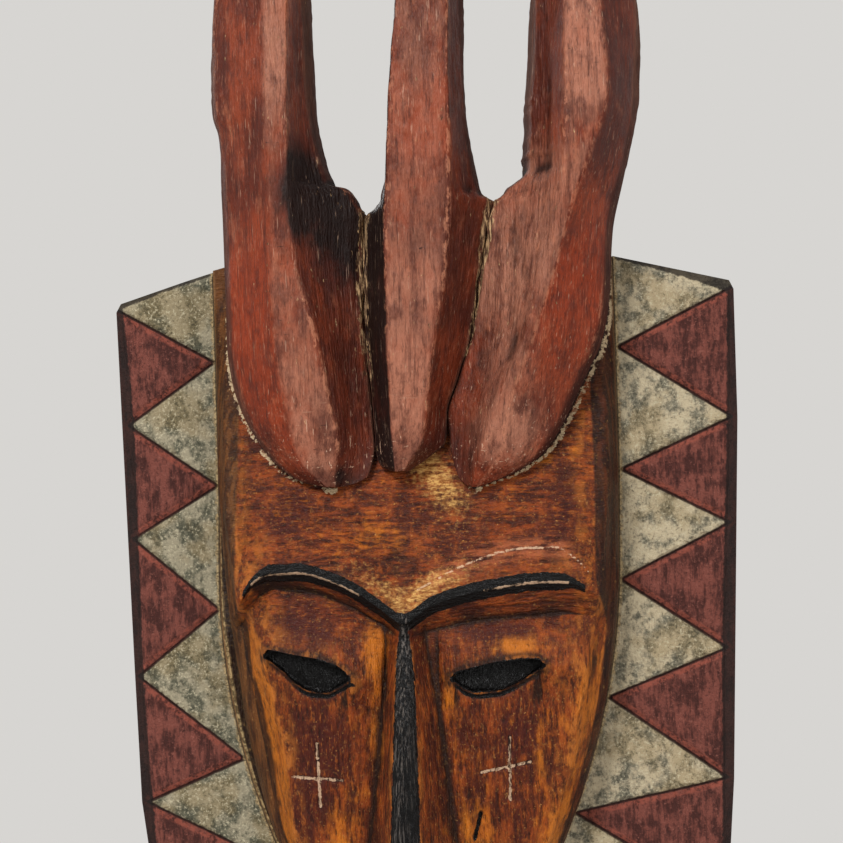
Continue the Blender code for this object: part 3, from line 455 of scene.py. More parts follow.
def face_levels():
    levels = [k + share for k, count in enumerate(ROW_COUNTS) for share in eased(count)]
    return levels + [float(len(ROW_COUNTS))]


CHEEK_COLUMNS = 84
NOSE_COLUMNS = (14, 12, 16)
BACK_COLUMNS = 46
FACE_CORNER = ((0.0, BOARD * 0.6), (0.0, BOARD * 0.25), (0.0, 0.0012), (0.0004, 0.0004), (0.0012, 0.0),
               (0.0040, 0.0))  # distance in from the outline, and depth, round the rear corner


def front_places(z):
    """Places across the front: columns follow the nose, and crowd towards the sides."""
    middle, half = face_axis(z), face_half_width(z)
    half = np.where(z > SEAT_HIGH_Z, np.minimum(half, arc_reach(z)), half)
    scale = np.minimum(1.0, half / 0.045)
    nose_lines = (FOOT_LEFT, CAP_LEFT, CAP_RIGHT, FOOT_RIGHT)
    marks = [middle + (curve(line, z) - middle) * scale for line in nose_lines]
    even = np.linspace(0, 1, CHEEK_COLUMNS)
    crowd = 0.35 * even + 0.65 * (1 - np.cos(even * np.pi / 2))
    places = [middle - half + (marks[0] - middle + half) * (1 - share) for share in crowd[::-1]]
    for first, second, count in zip(marks, marks[1:], NOSE_COLUMNS):
        places += [first + (second - first) * k / count for k in range(1, count + 1)]
    places += [marks[3] + (middle + half - marks[3]) * share for share in crowd[1:]]
    return np.array(places)


def hollow_reach(z):
    half = face_half_width(z)
    rise = np.clip((z - HOLLOW_BEND_Z) / (HOLLOW_TOP_Z - HOLLOW_BEND_Z), 0.0, 1.0)
    return np.maximum((half - RIM) * np.sqrt(1 - rise**2), 0.15 * half)


def hollow_depth(aside, z):
    ends = step(HOLLOW_TOP_Z, HOLLOW_TOP_Z - 0.022, z) * step(HOLLOW_BOTTOM_Z, HOLLOW_BOTTOM_Z + 0.030, z)
    middle = curve(MIDDLE_DEPTH, z) - WALL - 0.003
    return middle * ends * np.sqrt(1 - np.abs(aside) ** 3)


def gouge_marks(x, z):
    """Overlapping scoops that a gouge leaves, deepest along the middle of each."""
    lane = x / 0.0075
    shift = 0.37 * np.floor(lane) + 0.15 * np.sin(9 * z / 0.05)
    length = z / 0.019 + shift
    across = 2 * (lane - np.floor(lane)) - 1
    along = 2 * (length - np.floor(length)) - 1
    return 0.0006 * (1 - across**2) * (1 - 0.7 * along**2)


def face_grid():
    """Rows of points round the face block and, for each, whether it is on the front."""
    levels = face_levels()
    even = np.linspace(1, -1, BACK_COLUMNS)
    back_shares = (np.sin(even * np.pi / 2) + even) / 2
    rows = []
    for level in levels:
        plain = face_heights(np.array(0.030), level)
        guess = front_places(plain)
        z = face_heights(guess, level)
        level_row = np.ptp(z) <= 1e-6
        x = guess if level_row else np.array([front_places(height)[k] for k, height in enumerate(z)])
        front = np.stack((x, -face_depth(x, z), z), axis=-1)
        flat = float(plain)
        middle, half = face_axis(flat), (guess[-1] - guess[0]) / 2
        reach = np.minimum(hollow_reach(flat), 0.8 * half)
        back_x = middle + back_shares * reach
        depth = hollow_depth(back_shares, np.full(back_shares.shape, flat))
        marks = gouge_marks(back_x, flat) * step(0.004, 0.012, depth)
        back = np.stack((back_x, -(depth - marks), np.full(back_x.shape, flat)), axis=-1)
        right = [(middle + half - in_by, -deep, flat) for in_by, deep in FACE_CORNER]
        left = [(middle - half + in_by, -deep, flat) for in_by, deep in reversed(FACE_CORNER)]
        rows.append(np.concatenate((front, right, back, left)))
    return np.array(rows), len(guess)


def make_carved_face():
    rows, front_count = face_grid()
    normal = outward(rows)
    front = np.zeros(rows.shape[:2])
    front[:, 1:front_count - 1] = 1
    rough = 0.00030 * noise(rows, (0.010, 0.010, 0.022), 1) + 0.00012 * noise(rows, 0.0032, 2)
    rows = rows + normal * (rough * front * step(BOARD, BOARD + 0.004, -rows[..., 1]))[..., None]
    face = tube("carved_face", rows)
    x, z = rows[..., 0], rows[..., 2]
    paint(face, front=front, hollow=hollowness(rows), valley=hollowness(rows, 70), **face_marks(x, z))
    return face


HORN_TOES = ((-0.035, -0.0245), (0.022, -0.0260))
OUTLINE_SLOPE = 0.75  # true distance for each unit sideways, on the slanting outline
BROW_ENDS = (-0.0695, 0.0635)
BAND_BELOW = 0.0038
BAND_ABOVE = 0.0036
LID_FOLD_ENDS = ((-0.050, -0.027), (0.012, 0.036))
LID_FOLD_DROP = 0.0020
LIP_HALF_WIDTH = 0.024
NOSTRIL_X = (-0.0190, 0.0050)
NOSTRIL_Z = -0.1870
NOSTRIL_RADIUS = 0.0030
BROW_SCRATCHES = ((-0.0665, -0.024), (0.024, 0.0575))
UPPER_LINE = ((-0.002, -0.0655), (0.0116, -0.0585), (0.0213, -0.0545), (0.0303, -0.0516), (0.0388, -0.0503),
              (0.0519, -0.0499), (0.0598, -0.0544), (0.0654, -0.0607))


def horn_root_distance(x, z):
    """Distance outside the outlines of the horn roots, on the forehead."""
    below_left, below_right = [np.hypot(x - toe_x, z - toe_z) for toe_x, toe_z in HORN_TOES]
    left = np.where(z > HORN_TOES[0][1], curve(LEFT_HORN_OUTER, z) - x, below_left)
    right = np.where(z > HORN_TOES[1][1], x - curve(RIGHT_HORN_OUTER, z), below_right)
    return np.minimum(np.abs(left), np.abs(right)) * OUTLINE_SLOPE


def black_paint(x, z, above):
    """Signed distance into the black: brow band, nose cap, lid folds, slits, lips, gash and nostrils."""
    brow_ends = between(x, *BROW_ENDS)
    taper = 0.4 + 0.6 * step(0.0, 0.012, brow_ends)
    band = np.minimum(between(above, -BAND_BELOW * taper, BAND_ABOVE * taper), brow_ends)
    fold = 0.0008 - np.abs(z - curve(LOWER_LID, x) + LID_FOLD_DROP)
    fold = np.minimum(fold, 0.4 * np.maximum(*[between(x, *ends) for ends in LID_FOLD_ENDS]))
    lips = np.minimum(0.0007 - np.abs(z - MOUTH_Z), LIP_HALF_WIDTH - np.abs(x - MOUTH_X))
    gash = 0.0007 - segment_distance(x, z, *GASH)
    nostrils = [NOSTRIL_RADIUS - np.hypot(x - at_x, (z - NOSTRIL_Z) * 0.8) for at_x in NOSTRIL_X]
    slits = slit_inside(x, z) + 0.0005
    return np.maximum.reduce([band, cap_inside(x, z), fold, slits, lips, gash, *nostrils])


def cap_inside(x, z):
    """Signed distance into the black cap down the nose."""
    across = between(x, curve(CAP_LEFT, z), curve(CAP_RIGHT, z))
    return np.minimum(across, between(z, NOSE_TIP_Z - 0.004, NOSE_TOP_Z + 0.004))


def face_marks(x, z):
    """Where paint, scratches and colour patches lie on the face; distances are in millimetres."""
    above = z - curve(BROW, x)
    scratch = 0.00045 - np.abs(above + 0.0003)
    scratch = np.minimum(scratch, np.maximum(*[between(x, *ends) for ends in BROW_SCRATCHES]))
    line_ends = between(x, UPPER_LINE[0][0], UPPER_LINE[-1][0])
    upper_line = np.minimum(0.0009 - np.abs(z - curve(UPPER_LINE, x)), line_ends)
    scraped = step(0.0, 0.006, upper_line + 0.0060) * step(-0.001, 0.006, above)
    scraped = scraped * step(-0.004, 0.006, x) * step(0.064, 0.056, x)
    from_roots = horn_root_distance(x, z)
    crosses = np.maximum.reduce([0.0005 - segment_distance(x, z, *stroke) for stroke in CROSSES])
    wedge = 0.85 * spot(x + 0.55 * (z + 0.020), z, 0.0055, -0.022, 0.0075, 0.014)
    wedge = wedge + 0.72 * spot(x, above, -0.002, 0.0075, 0.020, 0.0055)
    cap_sheen_side = bump(x - curve(CAP_LEFT, z) - 0.0028, 0.0022)
    return {
        "black": black_paint(x, z, above) * 1000,
        # painted shade: a dark rim round the eye slits
        "painted_slit_shade": bump(np.maximum(-slit_inside(x, z), 0), 0.0030),
        "scraped": scraped,
        # painted highlight: sheen streaks on the nose cap, strongest along its left side
        "painted_cap_sheen": (cap_inside(x, z) > -0.0005) * (0.25 + 0.75 * cap_sheen_side),
        "worn": np.maximum.reduce([scratch, upper_line - 0.0005, crosses]) * 1000,
        "root_line": (0.00070 - np.abs(from_roots - 0.0015)) * 1000,
        # painted shade: a dark line on the forehead under the edges of the horn roots
        "undercut": (0.0008 - from_roots) * 1000,
        "wedge": wedge,
        "cheek": 1 - step(-0.100, -0.070, z),
        "golden": golden_places(x, z),
        "maroon": np.clip(spots(x, z, MAROON_SPOTS), 0, 1),
        "wall": side_walls(x, z),
    }


WALL_BLEND = 0.02  # share of the half-width over which one side fades into the next


def side_walls(x, z):
    """-1 on the left side wall, 1 on the right one and 0 between them; 2 lower on the left foot."""
    signed = (x - face_axis(z)) / face_half_width(z)
    left_edge, foot = curve(LEFT_WALL_EDGE, z), curve(LEFT_FOOT, z)
    right_edge = curve(RIGHT_WALL_EDGE, z) - WALL_BLEND
    high = step(-0.085, -0.060, z)
    left_edge = left_edge + high * (0.85 - left_edge)
    right_edge = right_edge + high * (0.86 - right_edge)
    left = step(left_edge - WALL_BLEND, left_edge + WALL_BLEND, -signed)
    left = left + 2 * step(foot - 0.012, foot + 0.004, -signed) * (foot < 0.99)
    return step(right_edge - WALL_BLEND, right_edge + WALL_BLEND, signed) - left


# Patches of paint on the face, as (x, z, reach in x, reach in z, share): dark red-brown paint that has
# stayed on lids, cheeks and forehead, then the brightest ochre, over the slits and beside the nose
MAROON_SPOTS = ((-0.045, -0.079, 0.014, 0.010, 1.0), (0.032, -0.083, 0.016, 0.006, 1.0),
                (-0.041, -0.128, 0.014, 0.020, 1.0), (0.036, -0.122, 0.011, 0.017, 0.9),
                (-0.052, -0.160, 0.007, 0.020, 1.0), (0.036, -0.165, 0.006, 0.025, 0.5),
                (-0.052, -0.034, 0.015, 0.011, 0.9), (0.056, -0.040, 0.012, 0.012, 0.7),
                (0.016, -0.047, 0.009, 0.008, 0.6))
GOLDEN_SPOTS = ((0.036, -0.0885, 0.014, 0.005, 1.0), (-0.019, -0.088, 0.006, 0.012, 1.0),
                (0.010, -0.108, 0.005, 0.018, 0.8), (-0.0195, -0.118, 0.004, 0.025, 0.8),
                (-0.033, -0.160, 0.008, 0.018, 0.7), (0.045, -0.140, 0.006, 0.030, 0.5),
                (0.017, -0.164, 0.010, 0.024, 0.9), (-0.016, -0.044, 0.020, 0.010, 0.6),
                (0.050, -0.014, 0.014, 0.010, 0.6))


def golden_places(x, z):
    """The bright ochre patches, and the slanting facets down both cheeks."""
    signed = (x - face_axis(z)) / face_half_width(z)
    front_edge, wall_edge = curve(LEFT_FRONT_EDGE, z), curve(LEFT_WALL_EDGE, z)
    left_facet = step(front_edge - WALL_BLEND, front_edge + WALL_BLEND, -signed)
    left_facet = left_facet * step(wall_edge + 0.03, wall_edge, -signed) * step(-0.070, -0.085, z)
    right_facet = step(0.78, 0.86, signed) * step(0.96, 0.92, signed) * step(-0.075, -0.100, z)
    return np.clip(spots(x, z, GOLDEN_SPOTS) + left_facet + 0.7 * right_facet, 0, 1)


# Horns -----------------------------------------------------------------------------------------------


def horn_back(z):
    return np.where(z <= SEAT_HIGH_Z, seat_depth(z) + GAP, curve(HORN_BACK_DEPTH, z))


def horn_rows(z, low_x, high_x, ridge, low_depth, high_depth, scoops, seams):
    """Rows of points round one horn: side walls, and a slanting facet to each side of a front one.

    Also gives, for each column, which part it is on: -1 low facet, 0 front, 1 high facet, 2 wall or back.
    """
    back = horn_back(z)
    width = high_x - low_x
    top = np.maximum(curve(HORN_RIDGE_DEPTH, z), back + 0.004)
    low_depth = np.maximum(low_depth, back + 0.002)
    high_depth = np.maximum(high_depth, back + 0.002)
    ridge_low, ridge_high = [curve(line, z) for line in ridge]
    low_root, high_root = [np.where(z < SEAT_HIGH_Z, np.minimum(back, face_depth(x, z) - 0.0015), back)
                           for x in (low_x, high_x)]
    low_tight, high_tight = [1 - 0.8 * part for part in seams]
    corners = (
        (low_x + 0.04 * width, low_root),
        (low_x, low_root + 0.35 * (low_depth - low_root)),
        (low_x, low_root + (1 - 0.2 * low_tight) * (low_depth - low_root)),
        (low_x + 0.06 * low_tight * width, low_depth + 0.20 * low_tight * (top - low_depth)),
        (ridge_low, top),
        (ridge_high, top - 0.001),
        (high_x - 0.06 * high_tight * width, high_depth + 0.20 * high_tight * (top - high_depth)),
        (high_x, high_root + (1 - 0.2 * high_tight) * (high_depth - high_root)),
        (high_x, high_root + 0.35 * (high_depth - high_root)),
        (high_x - 0.04 * width, high_root),
    )
    counts = (5, 10, 4, 22, 16, 22, 4, 10, 5, 15)
    places = (2, 2, 2, -1, 0, 1, 2, 2, 2, 2)
    low_scoop, high_scoop = scoops
    columns, parts = [], []
    for k, count in enumerate(counts):
        (x, depth), (next_x, next_depth) = corners[k], corners[(k + 1) % len(corners)]
        for share in np.arange(count) / count:
            dent = {3: low_scoop, 5: high_scoop}.get(k, 0.0) * 4 * share * (1 - share)
            here_depth = depth + (next_depth - depth) * share - dent * np.minimum(1, width / 0.04)
            columns.append(np.stack((x + (next_x - x) * share, -here_depth, z), axis=-1))
            parts.append(places[k])
    rows = np.stack(columns, axis=1)
    for _ in range(2):
        rows = (np.roll(rows, 1, 1) + 2 * rows + np.roll(rows, -1, 1)) / 4
    return rows, np.array(parts)


def jagged(z, seed):
    """Torn edge: saw teeth of uneven size, from 0 to 1."""
    where = np.zeros(z.shape + (3,))
    where[..., 2] = z
    fine = noise(where, 0.0021, seed)
    coarse = noise(where, 0.0052, seed + 1)
    return np.clip(0.5 + 0.5 * coarse + 0.35 * fine, 0, 1)


def round_tip(rows, z, tip_z, length):
    """Draws the last stretch of a horn in to a blunt point."""
    share = np.clip((z - tip_z + length) / length, 0, 1)
    keep = np.sqrt(np.maximum(1 - share**2, 0.004))
    centre = rows.mean(axis=1, keepdims=True)
    drawn = centre + (rows - centre) * keep[:, None, None]
    drawn[..., 2] = rows[..., 2]
    return drawn


HORN_ROW_STEP = 0.00105
TIP_LENGTH = 0.010


def make_horn(name, low_z, tip_z, edges, ridge, depths, scoops, seed, marks):
    """One horn; edges gives its low and high x for an array of heights."""
    tip = tip_z - TIP_LENGTH + TIP_LENGTH * np.sin(np.linspace(0, np.pi / 2, 14))
    z = np.concatenate((np.arange(low_z, tip_z - TIP_LENGTH - 0.0005, HORN_ROW_STEP), tip))
    low_x, high_x = edges(z)
    joined = 1 - step(0.080, 0.100, z)
    seams = [joined * (curve(depth, z) == curve(HORN_SEAM_DEPTH, z)) for depth in depths]
    rows, parts = horn_rows(z, low_x, high_x, ridge, curve(depths[0], z), curve(depths[1], z), scoops, seams)
    rows = round_tip(rows, z, tip_z, TIP_LENGTH)
    normal = outward(rows)
    x, depth, heights = rows[..., 0], -rows[..., 1], rows[..., 2]
    from_sides = between(x, low_x[:, None], high_x[:, None])
    free = np.maximum(step(0.0008, 0.0045, from_sides), step(0.088, 0.100, heights))
    free = free * step(0.0, 0.004, depth - horn_back(z)[:, None])
    strokes = 0.00080 * noise(rows, (0.012, 0.012, 0.034), seed)
    strokes = strokes + 0.00035 * noise(rows, (0.005, 0.005, 0.014), seed + 1)
    nicks = 0.00018 * noise(rows, 0.0026, seed + 2)
    splinters = 0.0010 * noise(rows, (0.0014, 0.0014, 0.011), seed + 3) * seam_wood(x, heights)
    rows = rows + normal * ((strokes + nicks) * free + splinters)[..., None]
    shoulder = bump(heights - 0.0915, 0.0050) * step(0.010, 0.004, from_sides)
    rows[..., 2] += 0.0024 * (jagged(x, seed + 50) - 0.5) * shoulder
    horn = tube(name, rows)
    wall = soften(np.broadcast_to((parts == 2).astype(float), rows.shape[:2])[..., None].copy(), 2)[..., 0]
    side = np.broadcast_to(np.clip(parts, -1, 1) * (parts != 2), rows.shape[:2]).astype(float)
    side = soften(side[..., None].copy(), 4)[..., 0]
    crest = (x - curve(ridge[1], heights)) * 1000
    paint(horn, hollow=hollowness(rows), wall=wall, crest=crest, seam=seam_wood(x, heights) * 1.0,
          root=1 - step(-0.020, 0.020, heights), front=step(0.028, 0.034, depth), **marks(x, heights, side))
    return horn


def seam_wood(x, z):
    """1 where raw, splintered wood shows in the valleys between the horns."""
    wider = 0.0016 * step(0.055, 0.080, z)
    left = 1 - step(0.0012, 0.0030, np.abs(x - curve(LEFT_SEAM, z)))
    right = 1 - step(0.0005 + wider, 0.0016 + wider, np.abs(x - curve(RIGHT_SEAM, z)))
    raw = np.maximum(left * step(-0.004, 0.040, z), right * step(0.012, 0.045, z))
    return raw * (1 - step(0.0885, 0.0955, z))


def left_horn_marks(x, z, side):
    """Painted sheen on the front facet, an ember-red outer facet, and soot with painted shade on the inner
    one, fading towards the root; painted shade at the toe.
    """
    # Soot with painted shade on the inner facet, which is turned from the light; painted shade at the toe.
    soot_and_shade = 1.25 * step(-0.1, 0.9, side) * step(0.024, 0.074, z) * (1 - 0.90 * step(0.090, 0.130, z))
    soot_and_shade = soot_and_shade * (0.45 + 0.55 * step(-0.046, -0.030, x + 0.22 * (z - 0.080)))
    soot_and_shade = soot_and_shade + 0.40 * step(0.0, 0.9, side) * (1 - step(0.02, 0.06, z))
    knot = spot(x, z, -0.046, 0.090, 0.0070, 0.015)
    sheen_strength = 0.45 + 0.35 * step(0.07, 0.0, z) + 0.40 * step(0.105, 0.135, z)
    return {
        "dusty": (1 - np.abs(side)) ** 0.7 * sheen_strength,
        "dark": np.clip(soot_and_shade + knot + 0.5 * bump(z + 0.022, 0.006), 0, 1.3),
        "ember": step(0.1, 1.0, -side) * bump(z - 0.035, 0.055),
    }


def centre_horn_marks(x, z, side):
    # Black left facet; painted shade on the right facet and at the toe, and two darker bands across; painted
    # sheen on the front facet.
    dark = step(0.10, 0.8, -side) * 1.10 + step(0.1, 1.0, side) * (0.22 + 0.26 * step(0.085, 0.110, z))
    dark = dark + 0.30 * bump(z - 0.072, 0.012) + 0.22 * bump(z - 0.040, 0.007)
    return {
        "dusty": (1 - np.abs(side)) ** 0.7 * (0.50 + 0.42 * step(0.095, 0.030, z)),
        "dark": np.clip(dark + 0.4 * bump(z + 0.012, 0.008), 0, 1.3),
        "ember": (1 - np.abs(side)) * bump(z - 0.110, 0.030) * 0.6,
    }


def right_horn_marks(x, z, side):
    """Painted sheen on the facet above and on the toe, a thin crest below it, an ember-red outer facet, and
    painted shade on the outer edge and in the crotch.
    """
    inner, outer = step(0.2, 1.0, -side), step(0.2, 1.0, side)
    # Painted shade on the outer facet, near the toe and along the crotch; darker on the inner facet.
    dark = 0.55 * outer * step(0.075, 0.115, z) + 0.30 * inner * step(0.045, 0.015, z)
    dark = dark + 0.42 * step(0.3, 1.0, -side) * step(0.105, 0.130, z)
    dark = dark + 0.42 * spot(x, z, 0.016, -0.014, 0.007, 0.016)
    dark = dark + 0.35 * bump(z - 0.074 - 0.2 * (x - 0.045), 0.005) * step(0.3, -0.1, side)
    dusty = 0.72 * step(0.5, -0.1, side) * step(0.030, 0.060, z) * step(0.118, 0.095, z)
    dusty = dusty + 0.95 * (1 - np.abs(side)) ** 0.7 * step(0.100, 0.125, z)
    dusty = dusty + 0.85 * spot(x, z, 0.033, -0.006, 0.016, 0.014)
    dusty = dusty + 0.70 * spot(x, z, 0.036, 0.028, 0.014, 0.032)
    return {
        "dusty": np.clip(dusty, 0, 1),
        "dark": np.clip(dark, 0, 1),
        "ember": step(-0.1, 0.7, side) * bump(z - 0.050, 0.036),
    }


HORNS = ("left_horn", "centre_horn", "right_horn")


def make_horns():
    def left_edges(z):
        inner = np.where(z <= LEFT_CROTCH_Z, curve(LEFT_SEAM, z) - GAP / 2, curve(LEFT_HORN_INNER, z))
        inner = np.where(z < LOW_SEAM_Z, curve(LEFT_HORN_INNER, z), inner)
        torn = bump(z - 0.0905, 0.0055) * step(LEFT_CROTCH_Z, LEFT_CROTCH_Z + 0.003, z)
        notch = 0.0008 * step(0.1235, 0.1165, z) * step(0.095, 0.114, z)
        return curve(LEFT_HORN_OUTER, z) + notch, inner - 0.0028 * torn * (jagged(z, 21) - 0.4)

    def right_edges(z):
        inner = np.where(z <= RIGHT_CROTCH_Z, curve(RIGHT_SEAM, z) + GAP / 2, curve(RIGHT_HORN_INNER, z))
        inner = np.where(z < LOW_SEAM_Z, curve(RIGHT_HORN_INNER, z), inner)
        torn = bump(z - 0.0945, 0.008) * step(RIGHT_CROTCH_Z, RIGHT_CROTCH_Z + 0.003, z)
        torn = torn + 0.35 * bump(z - 0.116, 0.014)
        return inner + 0.0034 * torn * (jagged(z, 31) - 0.6), curve(RIGHT_HORN_OUTER, z)

    def centre_edges(z):
        low = np.where(z <= LEFT_CROTCH_Z, curve(LEFT_SEAM, z) + GAP / 2, curve(CENTRE_HORN_LEFT, z))
        high = np.where(z <= RIGHT_CROTCH_Z, curve(RIGHT_SEAM, z) - GAP / 2, curve(CENTRE_HORN_RIGHT, z))
        low = np.where(z < LOW_SEAM_Z, curve(CENTRE_HORN_LEFT, z), low)
        high = np.where(z < 0.002, curve(CENTRE_HORN_RIGHT, z), high)
        torn = bump(z - 0.0865, 0.004)
        low = low + 0.0016 * torn * (z > LEFT_CROTCH_Z) * (jagged(z, 41) - 0.4)
        return low, high - 0.0022 * torn * (z > RIGHT_CROTCH_Z) * (jagged(z, 42) - 0.4)

    edge, seam = HORN_EDGE_DEPTH, HORN_SEAM_DEPTH
    left_tip, centre_tip, right_tip = [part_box(name)[1].z for name in HORNS]
    return (
        make_horn("carved_left_horn", -0.0245, left_tip, left_edges, LEFT_RIDGE, (edge, seam),
                  (-0.0014, 0.0030), 3, left_horn_marks),
        make_horn("carved_centre_horn", -0.0190, centre_tip, centre_edges, CENTRE_RIDGE, (seam, seam),
                  (0.0006, 0.0012), 6, centre_horn_marks),
        make_horn("carved_right_horn", -0.0260, right_tip, right_edges, RIGHT_RIDGE, (seam, edge),
                  (0.0024, -0.0012), 9, right_horn_marks),
    )


# Border boards -----------------------------------------------------------------------------------------


LINE_STEP = 0.0016
GRID_STEP = 0.0017
GRID_SHIFT = 0.0005
RIM_DEPTHS = (0.0105, 0.0065, 0.0025)
FRONT_DEPTH = 0.0112  # what lies deeper in front than this belongs to the painted front
BEVEL_DEPTH = 0.0022
BEVEL_WIDTH = 0.0024
BACK_BEVEL = 0.0012


def upright(points):
    """Points (x, z) of the front as (x, 0, z)."""
    return np.stack((points[:, 0], np.zeros(len(points)), points[:, 1]), axis=-1)


def board_outline(side):
    """Outline of one board as closed (x, z): down the face, along the bottom, up and over the top."""
    edge = BOARD_EDGES[side]
    z = np.linspace(0.0625, BOTTOM_ARC_Z + 0.0015, 190)
    points = [(face_axis(h) + side * (face_half_width(h) + GAP), h) for h in z]
    x = np.linspace(side * 0.026, curve(edge, BOTTOM_ARC_Z), 52)
    points += list(zip(x, BOTTOM_ARC_Z + ARC_RADIUS - np.sqrt(ARC_RADIUS**2 - x**2)))
    corner_z = TOP_ARC_Z - ARC_RADIUS + math.sqrt(ARC_RADIUS**2 - float(curve(edge, 0.052)) ** 2)
    z = np.linspace(points[-1][1], corner_z, 190)[1:]
    points += [(curve(edge, h), h) for h in z]
    x = np.linspace(points[-1][0], face_axis(0.06) + side * (FACE_HALF_WIDTH + GAP), 30)[1:]
    points += list(zip(x, TOP_ARC_Z - ARC_RADIUS + np.sqrt(ARC_RADIUS**2 - x**2)))
    outline = np.array([(float(x), float(z)) for x, z in points])
    middle_x = face_axis(outline[:, 1]) + side * (face_half_width(outline[:, 1]) + 0.004)
    free = step(0.0, 0.004, side * (outline[:, 0] - middle_x))
    where = upright(outline)
    wobble = 0.0005 * noise(where, 0.013, 51) + 0.0002 * noise(where, 0.004, 52)
    outline[:, 0] -= side * np.abs(wobble) * free
    return outline


def zigzag(side):
    edge = BOARD_EDGES[side]
    path = []
    for k, z in enumerate(ZIGZAGS[side]):
        if k % 2 == 0:
            path.append((float(curve(edge, z)) + side * 0.001, z))
        else:
            path.append((float(face_axis(z) + side * (face_half_width(z) + 0.0010)), z))
    return np.array(path)


def zigzag_distance(points, side):
    """Signed distance from points to the zigzag, positive on the red, outer side."""
    path = zigzag(side)
    nearest = np.full(len(points), 1.0)
    for start, end in zip(path[:-1], path[1:]):
        nearest = np.minimum(nearest, segment_distance(points[:, 0], points[:, 1], start, end))
    order = np.argsort(path[:, 1])
    line_x = np.interp(points[:, 1], path[order, 1], path[order, 0])
    beyond = (points[:, 1] > path[0, 1]) | (points[:, 1] < path[-1, 1])
    red = (side * (points[:, 0] - line_x) > 0) & ~beyond
    return np.where(red, nearest, -nearest)


def offset_path(path, distance):
    """The zigzag moved sideways, mitred at its turns."""
    moved = []
    for k, point in enumerate(path):
        ways = []
        if k > 0:
            ways.append(point - path[k - 1])
        if k + 1 < len(path):
            ways.append(path[k + 1] - point)
        normals = [np.array((-way[1], way[0])) / np.linalg.norm(way) for way in ways]
        mitre = sum(normals)
        mitre = mitre / np.linalg.norm(mitre)
        moved.append(point + mitre * distance / max(mitre @ normals[0], 0.3))
    return moved


def inside(points, outline):
    """Which points lie inside a closed outline."""
    found = np.zeros(len(points), bool)
    for (x0, z0), (x1, z1) in zip(outline, np.roll(outline, -1, 0)):
        crosses = (z0 > points[:, 1]) != (z1 > points[:, 1])
        if z0 != z1:
            found ^= crosses & (points[:, 0] < (x1 - x0) * (points[:, 1] - z0) / (z1 - z0) + x0)
    return found


def board_depth(points, side, border):
    """Depth of the board's front: flat, with the groove cut in, a bevelled rim and a slight unevenness."""
    zig = zigzag_distance(points, side)
    where = upright(points)
    red_side = GROOVE_RED_SIDE * (1 + 0.25 * noise(where, 0.020, 61))
    cut = np.where(zig > 0, 1 - zig / red_side, 1 + zig / GROOVE_PALE_SIDE)
    cut = GROOVE_DEPTH * (1 + 0.2 * noise(where, 0.012, 62)) * np.clip(cut, 0, 1)
    bevel = BEVEL_DEPTH * (1 - np.clip(border / BEVEL_WIDTH, 0, 1))
    uneven = 0.00030 * noise(where, 0.013, 63) + 0.00010 * noise(where, 0.0035, 64)
    return BOARD - np.maximum(cut, bevel) + uneven - 0.0003


def border_distance(points, side):
    """Distance to the free edges of the board; the edge against the face counts as far away."""
    edge = BOARD_EDGES[side]
    outer = side * (curve(edge, points[:, 1]) - points[:, 0])
    radius_top = np.hypot(points[:, 0], points[:, 1] - (TOP_ARC_Z - ARC_RADIUS))
    radius_bottom = np.hypot(points[:, 0], points[:, 1] - (BOTTOM_ARC_Z + ARC_RADIUS))
    return np.minimum.reduce([outer, ARC_RADIUS - radius_top, ARC_RADIUS - radius_bottom])


